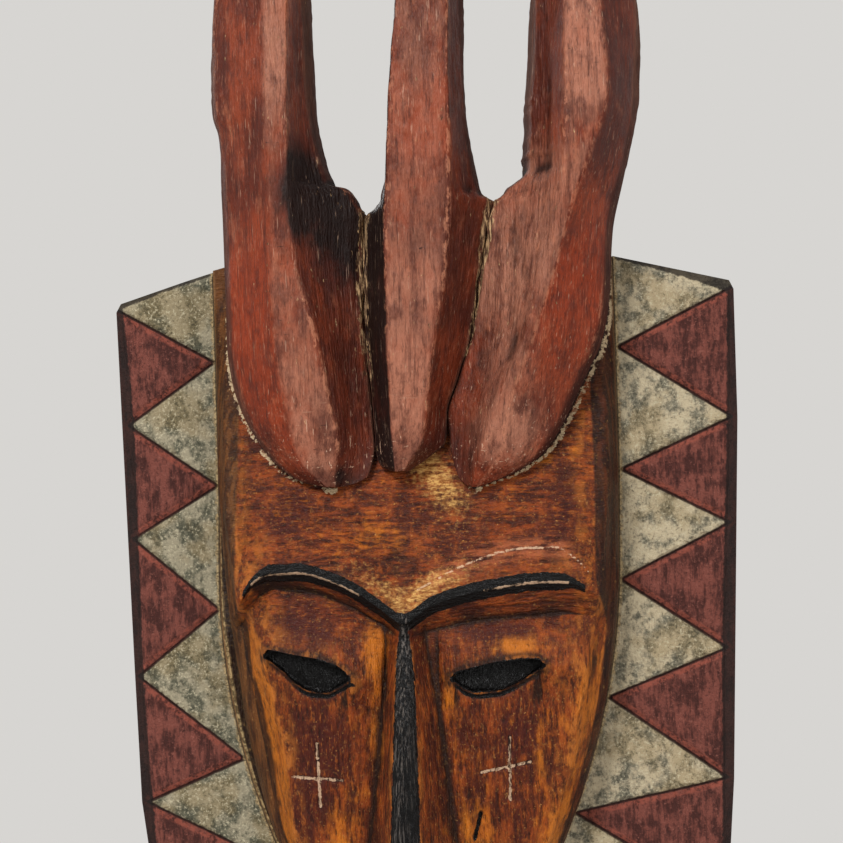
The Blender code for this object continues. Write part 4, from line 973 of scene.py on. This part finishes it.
def make_carved_board(side):
    name = "carved_left_board" if side < 0 else "carved_right_board"
    rng = np.random.default_rng(7 + side)
    outline = board_outline(side)
    points, edges = list(outline), []
    loop = list(range(len(outline)))
    path = zigzag(side)
    for distance in (0.0, side * -GROOVE_RED_SIDE, side * GROOVE_PALE_SIDE):
        line = offset_path(path, distance)
        for start, end in zip(line[:-1], line[1:]):
            count = max(int(np.linalg.norm(end - start) / LINE_STEP), 2)
            run = [start + (end - start) * k / count for k in range(count + 1)]
            first = len(points)
            points += run
            edges += [(first + k, first + k + 1) for k in range(count)]
    low, high = outline.min(0), outline.max(0)
    grid = np.stack(np.meshgrid(*[np.arange(a, b, GRID_STEP) for a, b in zip(low, high)]), -1)
    grid = grid.reshape(-1, 2) + rng.uniform(-GRID_SHIFT, GRID_SHIFT, (grid.size // 2, 2))
    grid = grid[inside(grid, outline)]
    points += list(grid)
    coords, _, triangles, *_ = delaunay_2d_cdt([Vector(p) for p in points], edges, [loop], 1, 1e-5, False)
    flat = np.array([tuple(p) for p in coords])
    border = border_distance(flat, side)
    depth = board_depth(flat, side, border)
    back = BACK_BEVEL * (1 - np.clip(border / BACK_BEVEL, 0, 1))
    back = back + 0.0002 * np.abs(noise(upright(flat), (0.004, 1, 0.030), 65))
    shape = bmesh.new()
    front = [shape.verts.new((x, -d, z)) for (x, z), d in zip(flat, depth)]
    far = [shape.verts.new((x, -d, z)) for (x, z), d in zip(flat, back)]
    for triangle in triangles:
        shape.faces.new([front[k] for k in triangle])
    rim = [edge for edge in shape.edges if len(edge.link_faces) == 1]
    order = {vert: k for k, vert in enumerate(front)}
    rim = [(order[edge.verts[0]], order[edge.verts[1]]) for edge in rim]
    for triangle in triangles:
        shape.faces.new([far[k] for k in reversed(triangle)])
    rings = [front, *[{} for _ in RIM_DEPTHS], far]
    for ring, depth_here in zip(rings[1:-1], RIM_DEPTHS):
        for k in {k for pair in rim for k in pair}:
            uneven = 0.0003 * side * float(noise(np.array((flat[k][0], depth_here, flat[k][1])), 0.006, 66))
            ring[k] = shape.verts.new((flat[k][0] - abs(uneven) * side, -depth_here, flat[k][1]))
    for near, further in zip(rings, rings[1:]):
        for one, two in rim:
            shape.faces.new((near[one], near[two], further[two], further[one]))
    bmesh.ops.recalc_face_normals(shape, faces=shape.faces)
    mesh = bpy.data.meshes.new(name)
    shape.to_mesh(mesh)
    shape.free()
    board = bpy.data.objects.new(name, mesh)
    bpy.context.scene.collection.objects.link(board)
    mesh.shade_smooth()
    mesh.set_sharp_from_angle(angle=0.45)
    place = np.array([tuple(v.co) for v in mesh.vertices])
    flat = place[:, (0, 2)]
    from_face = side * (flat[:, 0] - face_axis(flat[:, 1])) - face_half_width(flat[:, 1])
    paint(board, fresh=np.full(len(place), 1.0 if side > 0 else 0.0),
          zigzag=zigzag_distance(flat, side) * 1000, rim=border_distance(flat, side) * 1000,
          front=(place[:, 1] < -FRONT_DEPTH).astype(float), face_gap=from_face * 1000)
    return board


# Materials -------------------------------------------------------------------------------------------


def shade(red, green, blue):
    """Display red, green and blue from 0 to 255 as the linear colour that a shader takes."""
    parts = [part / 255 for part in (red, green, blue)]
    return (*[p / 12.92 if p <= 0.04045 else ((p + 0.055) / 1.055) ** 2.4 for p in parts], 1.0)


class Recipe:
    """One material and short ways to add nodes to it; each returns the socket that carries its result."""

    def __init__(self, name):
        self.material = bpy.data.materials.new(name)
        self.material.use_nodes = True
        self.tree = self.material.node_tree
        self.shader = self.tree.nodes["Principled BSDF"]
        self.place = self.tree.nodes.new("ShaderNodeTexCoord").outputs["Object"]

    def put(self, value, socket):
        if isinstance(value, bpy.types.NodeSocket):
            self.tree.links.new(value, socket)
        else:
            socket.default_value = value

    def field(self, name):
        node = self.tree.nodes.new("ShaderNodeAttribute")
        node.attribute_name = name
        return node.outputs["Fac"]

    def noise(self, size, stretch=(1, 1, 1), detail=4.0, roughness=0.6, turn=(0, 0, 0)):
        """Grain; size is the length of its blobs in metres, longer by stretch along each axis."""
        mapping = self.tree.nodes.new("ShaderNodeMapping")
        mapping.inputs["Rotation"].default_value = turn
        mapping.inputs["Scale"].default_value = [1 / (size * part) for part in stretch]
        self.put(self.place, mapping.inputs["Vector"])
        node = self.tree.nodes.new("ShaderNodeTexNoise")
        node.inputs["Scale"].default_value = 1.0
        node.inputs["Detail"].default_value = detail
        node.inputs["Roughness"].default_value = roughness
        self.put(mapping.outputs["Vector"], node.inputs["Vector"])
        return node.outputs["Fac"]

    def math(self, operation, first, second=0.0):
        node = self.tree.nodes.new("ShaderNodeMath")
        node.operation = operation
        self.put(first, node.inputs[0])
        self.put(second, node.inputs[1])
        return node.outputs[0]

    def rise(self, value, low, high):
        """0 below low, 1 above high, smooth between; high may lie below low."""
        node = self.tree.nodes.new("ShaderNodeMapRange")
        node.interpolation_type = "SMOOTHSTEP"
        self.put(value, node.inputs["Value"])
        if low < high:
            node.inputs["From Min"].default_value = low
            node.inputs["From Max"].default_value = high
        else:
            node.inputs["From Min"].default_value = high
            node.inputs["From Max"].default_value = low
            node.inputs["To Min"].default_value = 1.0
            node.inputs["To Max"].default_value = 0.0
        return node.outputs["Result"]

    def less(self, share):
        return self.math("SUBTRACT", 1.0, share)

    def torn(self, value, grain, reach):
        """A value made uneven by grain, by up to half of reach each way."""
        return self.math("ADD", value, self.times(self.math("SUBTRACT", grain, 0.5), reach))

    def ragged(self, name, grain, reach):
        """1 inside a signed-distance field and 0 outside it, the edge torn over reach millimetres."""
        return self.rise(self.torn(self.field(name), grain, 2 * reach), -0.12, 0.12)

    def times(self, *parts):
        result = parts[0]
        for part in parts[1:]:
            result = self.math("MULTIPLY", result, part)
        return result

    def over(self, share, under, colour):
        """A colour laid over another where share is 1."""
        node = self.tree.nodes.new("ShaderNodeMix")
        node.data_type = "RGBA"
        self.put(share, node.inputs[0])
        self.put(under, node.inputs[6])
        self.put(colour, node.inputs[7])
        return node.outputs[2]

    def spread(self, value, low, high, first, second):
        """One colour where value is below low and another where it is above high."""
        return self.over(self.rise(value, low, high), shade(*first), shade(*second))

    def coats(self, colour, *coats):
        """Coats laid one over another: each is (value, low, high, share, colour), thickest past high."""
        for value, low, high, share, paint_colour in coats:
            colour = self.over(self.times(self.rise(value, low, high), share), colour, shade(*paint_colour))
        return colour

    def blend(self, share, first, second):
        node = self.tree.nodes.new("ShaderNodeMix")
        self.put(share, node.inputs[0])
        self.put(first, node.inputs[2])
        self.put(second, node.inputs[3])
        return node.outputs[0]

    def finish(self, colour, roughness, height, bump_distance, gloss=0.25):
        self.put(colour, self.shader.inputs["Base Color"])
        self.put(roughness, self.shader.inputs["Roughness"])
        self.shader.inputs["Specular IOR Level"].default_value = gloss
        node = self.tree.nodes.new("ShaderNodeBump")
        node.inputs["Distance"].default_value = bump_distance
        self.put(height, node.inputs["Height"])
        self.put(node.outputs["Normal"], self.shader.inputs["Normal"])
        return self.material


PAINT_GLOSS = 0.17
BOARD_GLOSS = 0.20
BLACK_ROUGHNESS = 0.26
BACK_ROUGHNESS = 0.75
RAW_ROUGHNESS = 0.8
HORN_WALL_ROUGHNESS = 0.9
# soot, and painted shade on horn facets turned from the light
SOOT_AND_SHADE = (20, 12, 10)
# painted shade at the bottom of the board grooves
GROOVE_SHADE_BROWN = (34, 18, 14)


def face_material():
    """Dark and ochre paint worn through each other, dull sides, bare wood, white scratches and black, with
    painted shade and highlights.
    """
    r = Recipe("worn_ochre_and_red_paint")
    cheek, hollow, valley, wall = [r.field(name) for name in ("cheek", "hollow", "valley", "wall")]
    streak = r.blend(cheek, r.noise(0.0026, (5, 1, 1), 4, 0.66), r.noise(0.0026, (1, 1, 6), 4, 0.66))
    fibre = r.blend(cheek, r.noise(0.0011, (3.5, 1, 1), 3, 0.7), r.noise(0.0011, (1, 1, 4.5), 3, 0.7))
    patch = r.noise(0.015, (1, 1, 1.2), 4, 0.62)
    cloud = r.noise(0.0062, (1, 1, 1.7), 5, 0.68)
    speck = r.noise(0.0009, (1, 1, 1), 2, 0.7)
    ragged = r.noise(0.0018, (1, 1, 1), 3, 0.7)
    standing = r.noise(0.0030, (1, 1, 9), 4, 0.66)

    maroon = r.torn(r.field("maroon"), cloud, 1.6)
    gold = r.math("ADD", r.times(r.field("golden"), 0.85), r.times(r.rise(patch, 0.48, 0.36), 0.30))
    gold = r.torn(r.torn(gold, cloud, 1.6), streak, 1.4)
    colour = r.coats(
        r.spread(streak, 0.36, 0.66, (58, 21, 9), (128, 56, 18)),
        (patch, 0.50, 0.60, 0.72, (56, 18, 9)),
        (cloud, 0.46, 0.34, 0.45, (150, 74, 22)),
        (maroon, 0.15, 0.85, 0.86, (58, 17, 11)),
        (gold, 0.25, 1.10, 0.82, (184, 104, 24)),
        (fibre, 0.55, 0.72, 0.42, (176, 96, 34)),
        (fibre, 0.47, 0.32, 0.72, (26, 11, 6)),
        (speck, 0.64, 0.76, 0.40, (206, 150, 84)),
    )

    left_wall, right_wall = r.rise(wall, -0.3, -0.9), r.rise(wall, 0.3, 0.8)
    # Side walls: the same olive-brown paint, lighter on the left as painted light and darker on the right as
    # painted shade.
    left_wall_paint_and_light = r.spread(standing, 0.42, 0.60, (44, 25, 11), (92, 56, 25))
    right_wall_paint_and_shade = r.spread(standing, 0.44, 0.62, (22, 9, 5), (62, 28, 13))
    crust = r.spread(ragged, 0.42, 0.58, (84, 68, 44), (160, 136, 96))
    colour = r.over(r.times(left_wall, 0.90), colour, left_wall_paint_and_light)
    colour = r.over(r.rise(r.torn(wall, ragged, 1.8), -1.8, -2.3), colour, crust)
    colour = r.over(r.times(right_wall, 0.92), colour, right_wall_paint_and_shade)

    middle = r.times(r.less(left_wall), r.less(right_wall))
    mostly_middle = r.less(r.times(r.less(middle), 0.9))
    # Painted highlights: lighter ochre on the ridges and convex edges of the front, kept off the side walls.
    painted_ridge_highlight = r.times(r.rise(cloud, 0.42, 0.60), middle, 0.30)
    painted_edge_highlight = r.times(r.rise(cloud, 0.44, 0.60), mostly_middle, 0.40)
    colour = r.coats(
        colour,
        # painted shade: darker in fine creases and in broad hollows of the face
        (hollow, 0.03, 0.30, 0.85, (20, 9, 5)),
        (valley, 0.05, 0.90, 0.78, (32, 14, 7)),
        # painted highlight on ridges
        (valley, -0.30, -1.10, painted_ridge_highlight, (184, 106, 36)),
        # painted shade round the eye slits
        (r.field("painted_slit_shade"), 0.10, 0.80, 0.86, (20, 10, 6)),
        # painted highlight on convex edges
        (hollow, -0.10, -0.50, painted_edge_highlight, (186, 108, 42)),
        (streak, 0.38, 0.60, r.times(r.field("scraped"), 0.55), (164, 92, 58)),
    )

    wedge = r.rise(r.torn(r.field("wedge"), ragged, 1.5), 0.05, 0.85)
    bare = r.spread(fibre, 0.40, 0.62, (138, 86, 38), (206, 160, 92))
    colour = r.over(r.times(wedge, r.rise(ragged, 0.28, 0.50), 0.85), colour, bare)
    # Painted shade under the edges of the horn roots.
    colour = r.coats(colour, (r.field("undercut"), -0.3, 0.1, 0.9, (30, 15, 10)))
    broken = r.rise(r.noise(0.005, (1, 1, 1), 3, 0.6), 0.37, 0.48)
    pale_line = r.over(speck, shade(150, 118, 84), shade(214, 194, 158))
    colour = r.over(r.times(r.ragged("root_line", ragged, 1.6), broken, 0.9), colour, pale_line)
    black = r.ragged("black", ragged, 0.9)
    # Painted highlight: pale grey sheen streaks down the black nose cap.
    cap_sheen_streaks = r.times(r.rise(r.noise(0.0008, (1, 1, 34), 4, 0.7), 0.50, 0.64), r.field("painted_cap_sheen"), 0.75)
    colour = r.over(black, colour, r.over(cap_sheen_streaks, shade(4, 3, 3), shade(98, 90, 84)))
    worn = r.times(r.ragged("worn", ragged, 0.8), 0.74)
    colour = r.coats(colour, (r.math("ADD", fibre, cloud), 0.84, 1.02, worn, (200, 166, 136)))

    back = r.coats(
        r.spread(r.noise(0.0018, (1, 1, 26), 4, 0.62), 0.34, 0.66, (82, 54, 32), (128, 92, 58)),
        (patch, 0.48, 0.66, 0.45, (74, 48, 29)),
        (fibre, 0.46, 0.34, 0.45, (52, 33, 20)),
    )
    colour = r.over(r.field("front"), back, colour)
    rough = r.blend(black, r.math("ADD", 0.24, r.times(speck, 0.42)), BLACK_ROUGHNESS)
    rough = r.blend(r.field("front"), BACK_ROUGHNESS, rough)
    height = r.math("ADD", r.times(streak, 0.8), r.times(fibre, 0.7))
    return r.finish(colour, rough, height, 0.0016, gloss=PAINT_GLOSS)


def horn_material():
    """Mahogany red with ember and sooty places, painted sheen and highlights, painted shade on the walls and
    in recesses, raw seams and pale cuts.
    """
    r = Recipe("worn_mahogany_paint")
    hollow, wall, front, on_root = [r.field(name) for name in ("hollow", "wall", "front", "root")]
    grain = r.noise(0.0022, (1, 1, 12), 4, 0.66)
    fibre = r.noise(0.0009, (1, 1, 9), 3, 0.7)
    patch = r.noise(0.018, (1, 1, 2.0), 4, 0.62)
    cloud = r.noise(0.0065, (1, 1, 1.8), 4, 0.66)
    speck = r.noise(0.0009, (1, 1, 1.4), 2, 0.7)
    ragged = r.noise(0.0022, (1, 1, 2), 3, 0.7)
    cross = r.noise(0.0011, (9, 1, 1), 3, 0.6)
    smoke = r.noise(0.011, (1, 1, 2.4), 5, 0.70)
    bloom = r.noise(0.008, (1, 1, 2.0), 5, 0.70)
    streaky = r.noise(0.0042, (1, 1, 16), 4, 0.70)
    slash = r.noise(0.0010, (1, 1, 12), 2, 0.6, turn=(0, 0.45, 0))

    crest = r.math("ABSOLUTE", r.field("crest"))
    dark = r.torn(r.torn(r.field("dark"), cloud, 1.1), patch, 0.8)
    # Edge wear and painted highlight on the convex front edges.
    edge_wear_and_highlight = r.times(r.rise(ragged, 0.50, 0.60), front, 0.40)
    colour = r.coats(
        r.spread(patch, 0.38, 0.62, (78, 29, 15), (124, 52, 27)),
        (r.torn(r.field("ember"), cloud, 1.8), 0.20, 1.10, 0.75, (134, 48, 18)),
        # painted sheen on front-facing facets and toes
        (r.torn(r.field("dusty"), cloud, 1.3), 0.15, 1.05, 0.80, (160, 106, 84)),
        (smoke, 0.51, 0.66, 0.66, (66, 27, 19)),
        (bloom, 0.56, 0.70, 0.36, (172, 104, 74)),
        (streaky, 0.53, 0.64, 0.40, (60, 24, 16)),
        (cloud, 0.52, 0.68, 0.50, (70, 26, 17)),
        (grain, 0.47, 0.33, 0.42, (62, 25, 17)),
        (fibre, 0.56, 0.72, 0.34, (184, 122, 94)),
        (fibre, 0.46, 0.32, 0.50, (46, 18, 12)),
        # painted highlight: a pale line along the crest
        (crest, 1.3, 0.2, r.times(r.rise(ragged, 0.42, 0.58), 0.35), (190, 124, 94)),
        # soot and painted shade
        (dark, 0.02, 0.72, 0.62, (64, 26, 19)),
        (dark, 0.45, 1.15, 0.94, SOOT_AND_SHADE),
    )
    # Painted shade: the horns' side walls and backs darker.
    colour = r.over(r.times(wall, 0.72), colour, shade(34, 15, 11))
    colour = r.coats(
        colour,
        # painted shade in recesses
        (hollow, 0.05, 0.6, 0.85, (24, 12, 10)),
        # edge wear and painted highlight on convex edges
        (hollow, -0.45, -1.1, edge_wear_and_highlight, (186, 122, 92)),
    )
    seam = r.times(r.rise(r.torn(r.field("seam"), ragged, 3.2), 0.45, 0.80), r.rise(cloud, 0.38, 0.50))
    colour = r.over(seam, colour, r.spread(fibre, 0.44, 0.60, (64, 42, 28), (186, 152, 112)))
    on_front = r.times(r.math("ADD", 0.25, r.times(on_root, 0.5)), front)
    colour = r.coats(
        colour,
        (cross, 0.64, 0.70, r.times(on_root, 0.7), (196, 158, 132)),
        (cross, 0.30, 0.25, 0.8, (30, 16, 13)),
        (slash, 0.66, 0.72, on_front, (208, 170, 144)),
    )

    rough = r.blend(seam, r.math("ADD", 0.27, r.times(speck, 0.40)), RAW_ROUGHNESS)
    rough = r.blend(wall, rough, HORN_WALL_ROUGHNESS)
    height = r.math("ADD", r.times(grain, 0.8), r.times(fibre, 0.5))
    height = r.math("ADD", height, r.times(cloud, 0.8))
    return r.finish(colour, rough, height, 0.0013, gloss=PAINT_GLOSS)


def board_material():
    """Red and pale triangles with grooves between them, painted shade and highlights in the grooves, black
    rims, and bare wood behind.
    """
    r = Recipe("red_and_pale_border_paint")
    zigzag_mm, rim_mm, gap_mm = [r.field(name) for name in ("zigzag", "rim", "face_gap")]
    grain = r.noise(0.0016, (1, 1, 5), 4, 0.66)
    blotch = r.noise(0.0075, (1, 1, 1.2), 4, 0.66)
    speck = r.noise(0.0011, (1, 1, 1), 3, 0.75)
    ragged = r.noise(0.0020, (1, 1, 1), 3, 0.7)
    stain = r.noise(0.022, (1, 1, 1), 3, 0.6)
    freckle = r.math("ADD", speck, r.times(blotch, 0.35))

    red = r.coats(
        r.spread(r.math("ADD", grain, blotch), 0.84, 1.16, (62, 29, 24), (114, 62, 52)),
        (speck, 0.56, 0.70, 0.5, (146, 92, 80)),
        (speck, 0.44, 0.32, 0.6, (48, 22, 18)),
    )
    old_pale = r.spread(blotch, 0.40, 0.60, (150, 141, 118), (84, 83, 68))
    fresh_pale = r.spread(blotch, 0.42, 0.60, (188, 172, 142), (116, 110, 94))
    pale = r.coats(
        r.over(r.times(r.field("fresh"), 0.75), old_pale, fresh_pale),
        (stain, 0.44, 0.58, 0.45, (132, 112, 74)),
        (freckle, 0.70, 0.86, 0.66, (46, 46, 36)),
        (speck, 0.46, 0.34, 0.70, (190, 180, 152)),
    )
    colour = r.over(r.rise(r.torn(zigzag_mm, ragged, 1.0), -0.5, -0.2), pale, red)

    # Painted highlight: a pink band on the red side of each groove, where its wall catches the light.
    painted_groove_highlight = r.times(r.rise(zigzag_mm, 3.0, 2.0), r.rise(ragged, 0.40, 0.58), 0.6)
    scuffed = r.times(r.math("SUBTRACT", ragged, 0.5), 2.4)
    gap = r.rise(r.math("ADD", gap_mm, r.times(scuffed, 1.4)), 2.0, 0.8)
    filler = r.spread(speck, 0.42, 0.56, (96, 76, 48), (186, 160, 116))
    colour = r.coats(
        colour,
        (zigzag_mm, 0.3, 0.8, painted_groove_highlight, (150, 78, 62)),
        # painted shade: a dark line down the steep pale side of each groove
        (r.math("ABSOLUTE", r.math("ADD", zigzag_mm, 0.1)), 0.85, 0.35, 0.85, GROOVE_SHADE_BROWN),
        (r.math("ADD", rim_mm, scuffed), 1.8, 1.0, 0.88, (26, 19, 17)),
    )
    colour = r.over(r.times(gap, 0.8), colour, filler)
    colour = r.coats(colour, (gap_mm, 0.8, 0.4, 0.8, (34, 23, 15)))

    wood = r.coats(
        r.spread(r.noise(0.0018, (1, 1, 26), 4, 0.62), 0.34, 0.66, (74, 49, 30), (120, 86, 54)),
        (blotch, 0.48, 0.66, 0.45, (68, 44, 28)),
        (gap_mm, 0.8, 0.4, 0.9, (26, 17, 11)),
        (r.math("ADD", rim_mm, r.times(scuffed, 0.6)), 1.4, 0.6, 1.0, (32, 23, 20)),
    )
    colour = r.over(r.field("front"), wood, colour)
    rough = r.math("ADD", 0.42, r.times(speck, 0.4))
    height = r.math("ADD", r.times(grain, 0.5), r.times(speck, 0.9))
    return r.finish(colour, rough, height, 0.0012, gloss=BOARD_GLOSS)


def pin_material():
    r = Recipe("turned_bare_wood")
    grain = r.noise(0.0008, (1, 9, 1), 4, 0.6)
    speck = r.noise(0.0004, (1, 1, 1), 3, 0.6)
    colour = r.spread(grain, 0.35, 0.65, (150, 114, 72), (196, 160, 112))
    colour = r.coats(colour, (speck, 0.58, 0.70, 0.6, (96, 66, 40)))
    rough = r.math("ADD", 0.6, r.times(speck, 0.25))
    return r.finish(colour, rough, grain, 0.0002, gloss=0.3)


def steel_material():
    r = Recipe("dull_zinc_plate")
    bloom = r.noise(0.003, (1, 1, 1), 4, 0.6)
    scratch = r.noise(0.0003, (12, 1, 1), 3, 0.6)
    colour = r.spread(bloom, 0.40, 0.62, (158, 156, 150), (122, 118, 110))
    colour = r.coats(colour, (bloom, 0.64, 0.74, 0.7, (110, 74, 48)))
    rough = r.math("ADD", 0.32, r.times(bloom, 0.3))
    r.shader.inputs["Metallic"].default_value = 1.0
    return r.finish(colour, rough, scratch, 0.00005, gloss=0.5)


def dress_frame_nodes():
    """The pins, the hanger and its nails keep their shapes and get their own materials."""
    wood, steel = pin_material(), steel_material()
    for name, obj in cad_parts.items():
        for words, material in ((("dowel", "peg"), wood), (("hanger",), steel)):
            if any(word in name for word in words):
                obj.data.materials.clear()
                obj.data.materials.append(material)


# Holes in the back of the face -----------------------------------------------------------------------

BORE_DEPTH = 0.004
BED = ((-0.0255, -0.0030, 0.0217), (0.0255, 0.002, 0.0353))
POCKET = ((-0.0150, -0.0080, 0.0140), (0.0150, 0.002, 0.0300))


def back_cutter():
    """Peg bores, the hanger's bed and the pocket for the wall nail's head."""
    shape = bmesh.new()
    for low, high in (BED, POCKET):
        middle = [(a + b) / 2 for a, b in zip(low, high)]
        size = [b - a for a, b in zip(low, high)]
        place = Matrix.Translation(middle) @ Matrix.Diagonal((*size, 1.0))
        bmesh.ops.create_cube(shape, size=1.0, matrix=place)
    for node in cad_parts:
        if "_peg_" not in node:
            continue
        low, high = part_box(node)
        turn = Matrix.Rotation(math.pi / 2, 4, "X")
        radius = (high.x - low.x) / 2 + GAP
        place = Matrix.Translation(((low.x + high.x) / 2, 0.0, (low.z + high.z) / 2))
        bmesh.ops.create_cone(shape, cap_ends=True, segments=32, radius1=radius, radius2=radius,
                              depth=2 * BORE_DEPTH, matrix=place @ turn)
    mesh = bpy.data.meshes.new("back_cutter")
    shape.to_mesh(mesh)
    shape.free()
    cutter = bpy.data.objects.new("back_cutter", mesh)
    bpy.context.scene.collection.objects.link(cutter)
    return cutter


def cut_back(face):
    cutter = back_cutter()
    cut = face.modifiers.new("holes", "BOOLEAN")
    cut.operation = "DIFFERENCE"
    cut.solver = "EXACT"
    cut.use_self = True
    cut.object = cutter
    view = bpy.context.evaluated_depsgraph_get()
    mesh = bpy.data.meshes.new_from_object(face.evaluated_get(view))
    face.modifiers.clear()
    face.data = mesh
    mesh.name = face.name
    bpy.data.objects.remove(cutter)
    mesh.set_sharp_from_angle(angle=1.2)


def main():
    face = make_carved_face()
    cut_back(face)
    horns = make_horns()
    boards = [make_carved_board(side) for side in (-1, 1)]
    face.data.materials.append(face_material())
    paint_red = horn_material()
    for horn in horns:
        horn.data.materials.append(paint_red)
    border = board_material()
    for board in boards:
        board.data.materials.append(border)
    dress_frame_nodes()
    settle(face, "face_paint", "face_shell")
    for horn, node in zip(horns, HORNS):
        settle(horn, "horn_paint", node)
    for board, node in zip(boards, ("left_border_board", "right_border_board")):
        settle(board, "border_paint", node)


# Floor, light and camera -------------------------------------------------------------------------------


MASK_MIDDLE = (0, -0.03, 0.0)
LIGHTS = (  # name, place, size, power
    ("key", (-0.50, -1.45, 1.00), 0.40, 28),
    ("fill", (0.95, -1.35, 0.15), 0.35, 5),
    ("back", (-0.8, 1.5, 0.7), 0.8, 6),
)
FLOOR_RADIUS = 0.45
FLOOR_THICKNESS = 0.006
FLOOR_Z = -0.303
CAMERA_TARGET = (0.001, -0.030, 0.0)
CAMERA_DISTANCE = 0.720
CAMERA_SWING = math.radians(3.0)
CAMERA_ROLL = math.radians(1.8)
LENS_MM = 76.65
SENSOR_MM = 36.0


def add_light(name, place, size, power):
    data = bpy.data.lights.new(name, "AREA")
    data.size = size
    data.energy = power
    light = bpy.data.objects.new(name, data)
    light.location = place
    light.rotation_euler = (Vector(MASK_MIDDLE) - Vector(place)).to_track_quat("-Z", "Y").to_euler()
    bpy.context.scene.collection.objects.link(light)


def make_floor():
    """A round pale floor below the mask, which hangs clear of it."""
    shape = bmesh.new()
    bmesh.ops.create_cone(shape, cap_ends=True, segments=128, radius1=FLOOR_RADIUS, radius2=FLOOR_RADIUS,
                          depth=FLOOR_THICKNESS, matrix=Matrix.Translation((0, 0, FLOOR_Z)))
    mesh = bpy.data.meshes.new("floor")
    shape.to_mesh(mesh)
    shape.free()
    floor = bpy.data.objects.new("floor", mesh)
    bpy.context.scene.collection.objects.link(floor)
    r = Recipe("pale_plaster_floor")
    cloud = r.noise(0.05, (1, 1, 1), 4, 0.6)
    colour = r.over(cloud, shade(206, 204, 200), shade(218, 216, 212))
    rough = r.math("ADD", 0.7, r.times(cloud, 0.2))
    floor.data.materials.append(r.finish(colour, rough, cloud, 0.0005))


def make_studio():
    world = bpy.data.worlds.new("pale_studio")
    world.use_nodes = True
    world.node_tree.nodes["Background"].inputs["Color"].default_value = shade(215, 213, 210)
    world.node_tree.nodes["Background"].inputs["Strength"].default_value = 1.0
    bpy.context.scene.world = world
    for light in LIGHTS:
        add_light(*light)
    bpy.context.scene.view_settings.view_transform = "Standard"


def make_camera():
    """A camera held about 0.7 m in front of the mask, a little to its right and turned slightly."""
    back = Vector((math.sin(CAMERA_SWING), -math.cos(CAMERA_SWING), 0))
    level, up = Vector((math.cos(CAMERA_SWING), math.sin(CAMERA_SWING), 0)), Vector((0, 0, 1))
    right = level * math.cos(CAMERA_ROLL) - up * math.sin(CAMERA_ROLL)
    above = up * math.cos(CAMERA_ROLL) + level * math.sin(CAMERA_ROLL)
    data = bpy.data.cameras.new("camera")
    data.lens = LENS_MM
    data.sensor_width = SENSOR_MM
    camera = bpy.data.objects.new("camera", data)
    turn = Matrix((right, above, back)).transposed().to_4x4()
    place = Vector(CAMERA_TARGET) + back * CAMERA_DISTANCE
    camera.matrix_world = Matrix.Translation(place) @ turn
    bpy.context.scene.collection.objects.link(camera)
    bpy.context.scene.camera = camera


main()
make_floor()
make_studio()
make_camera()
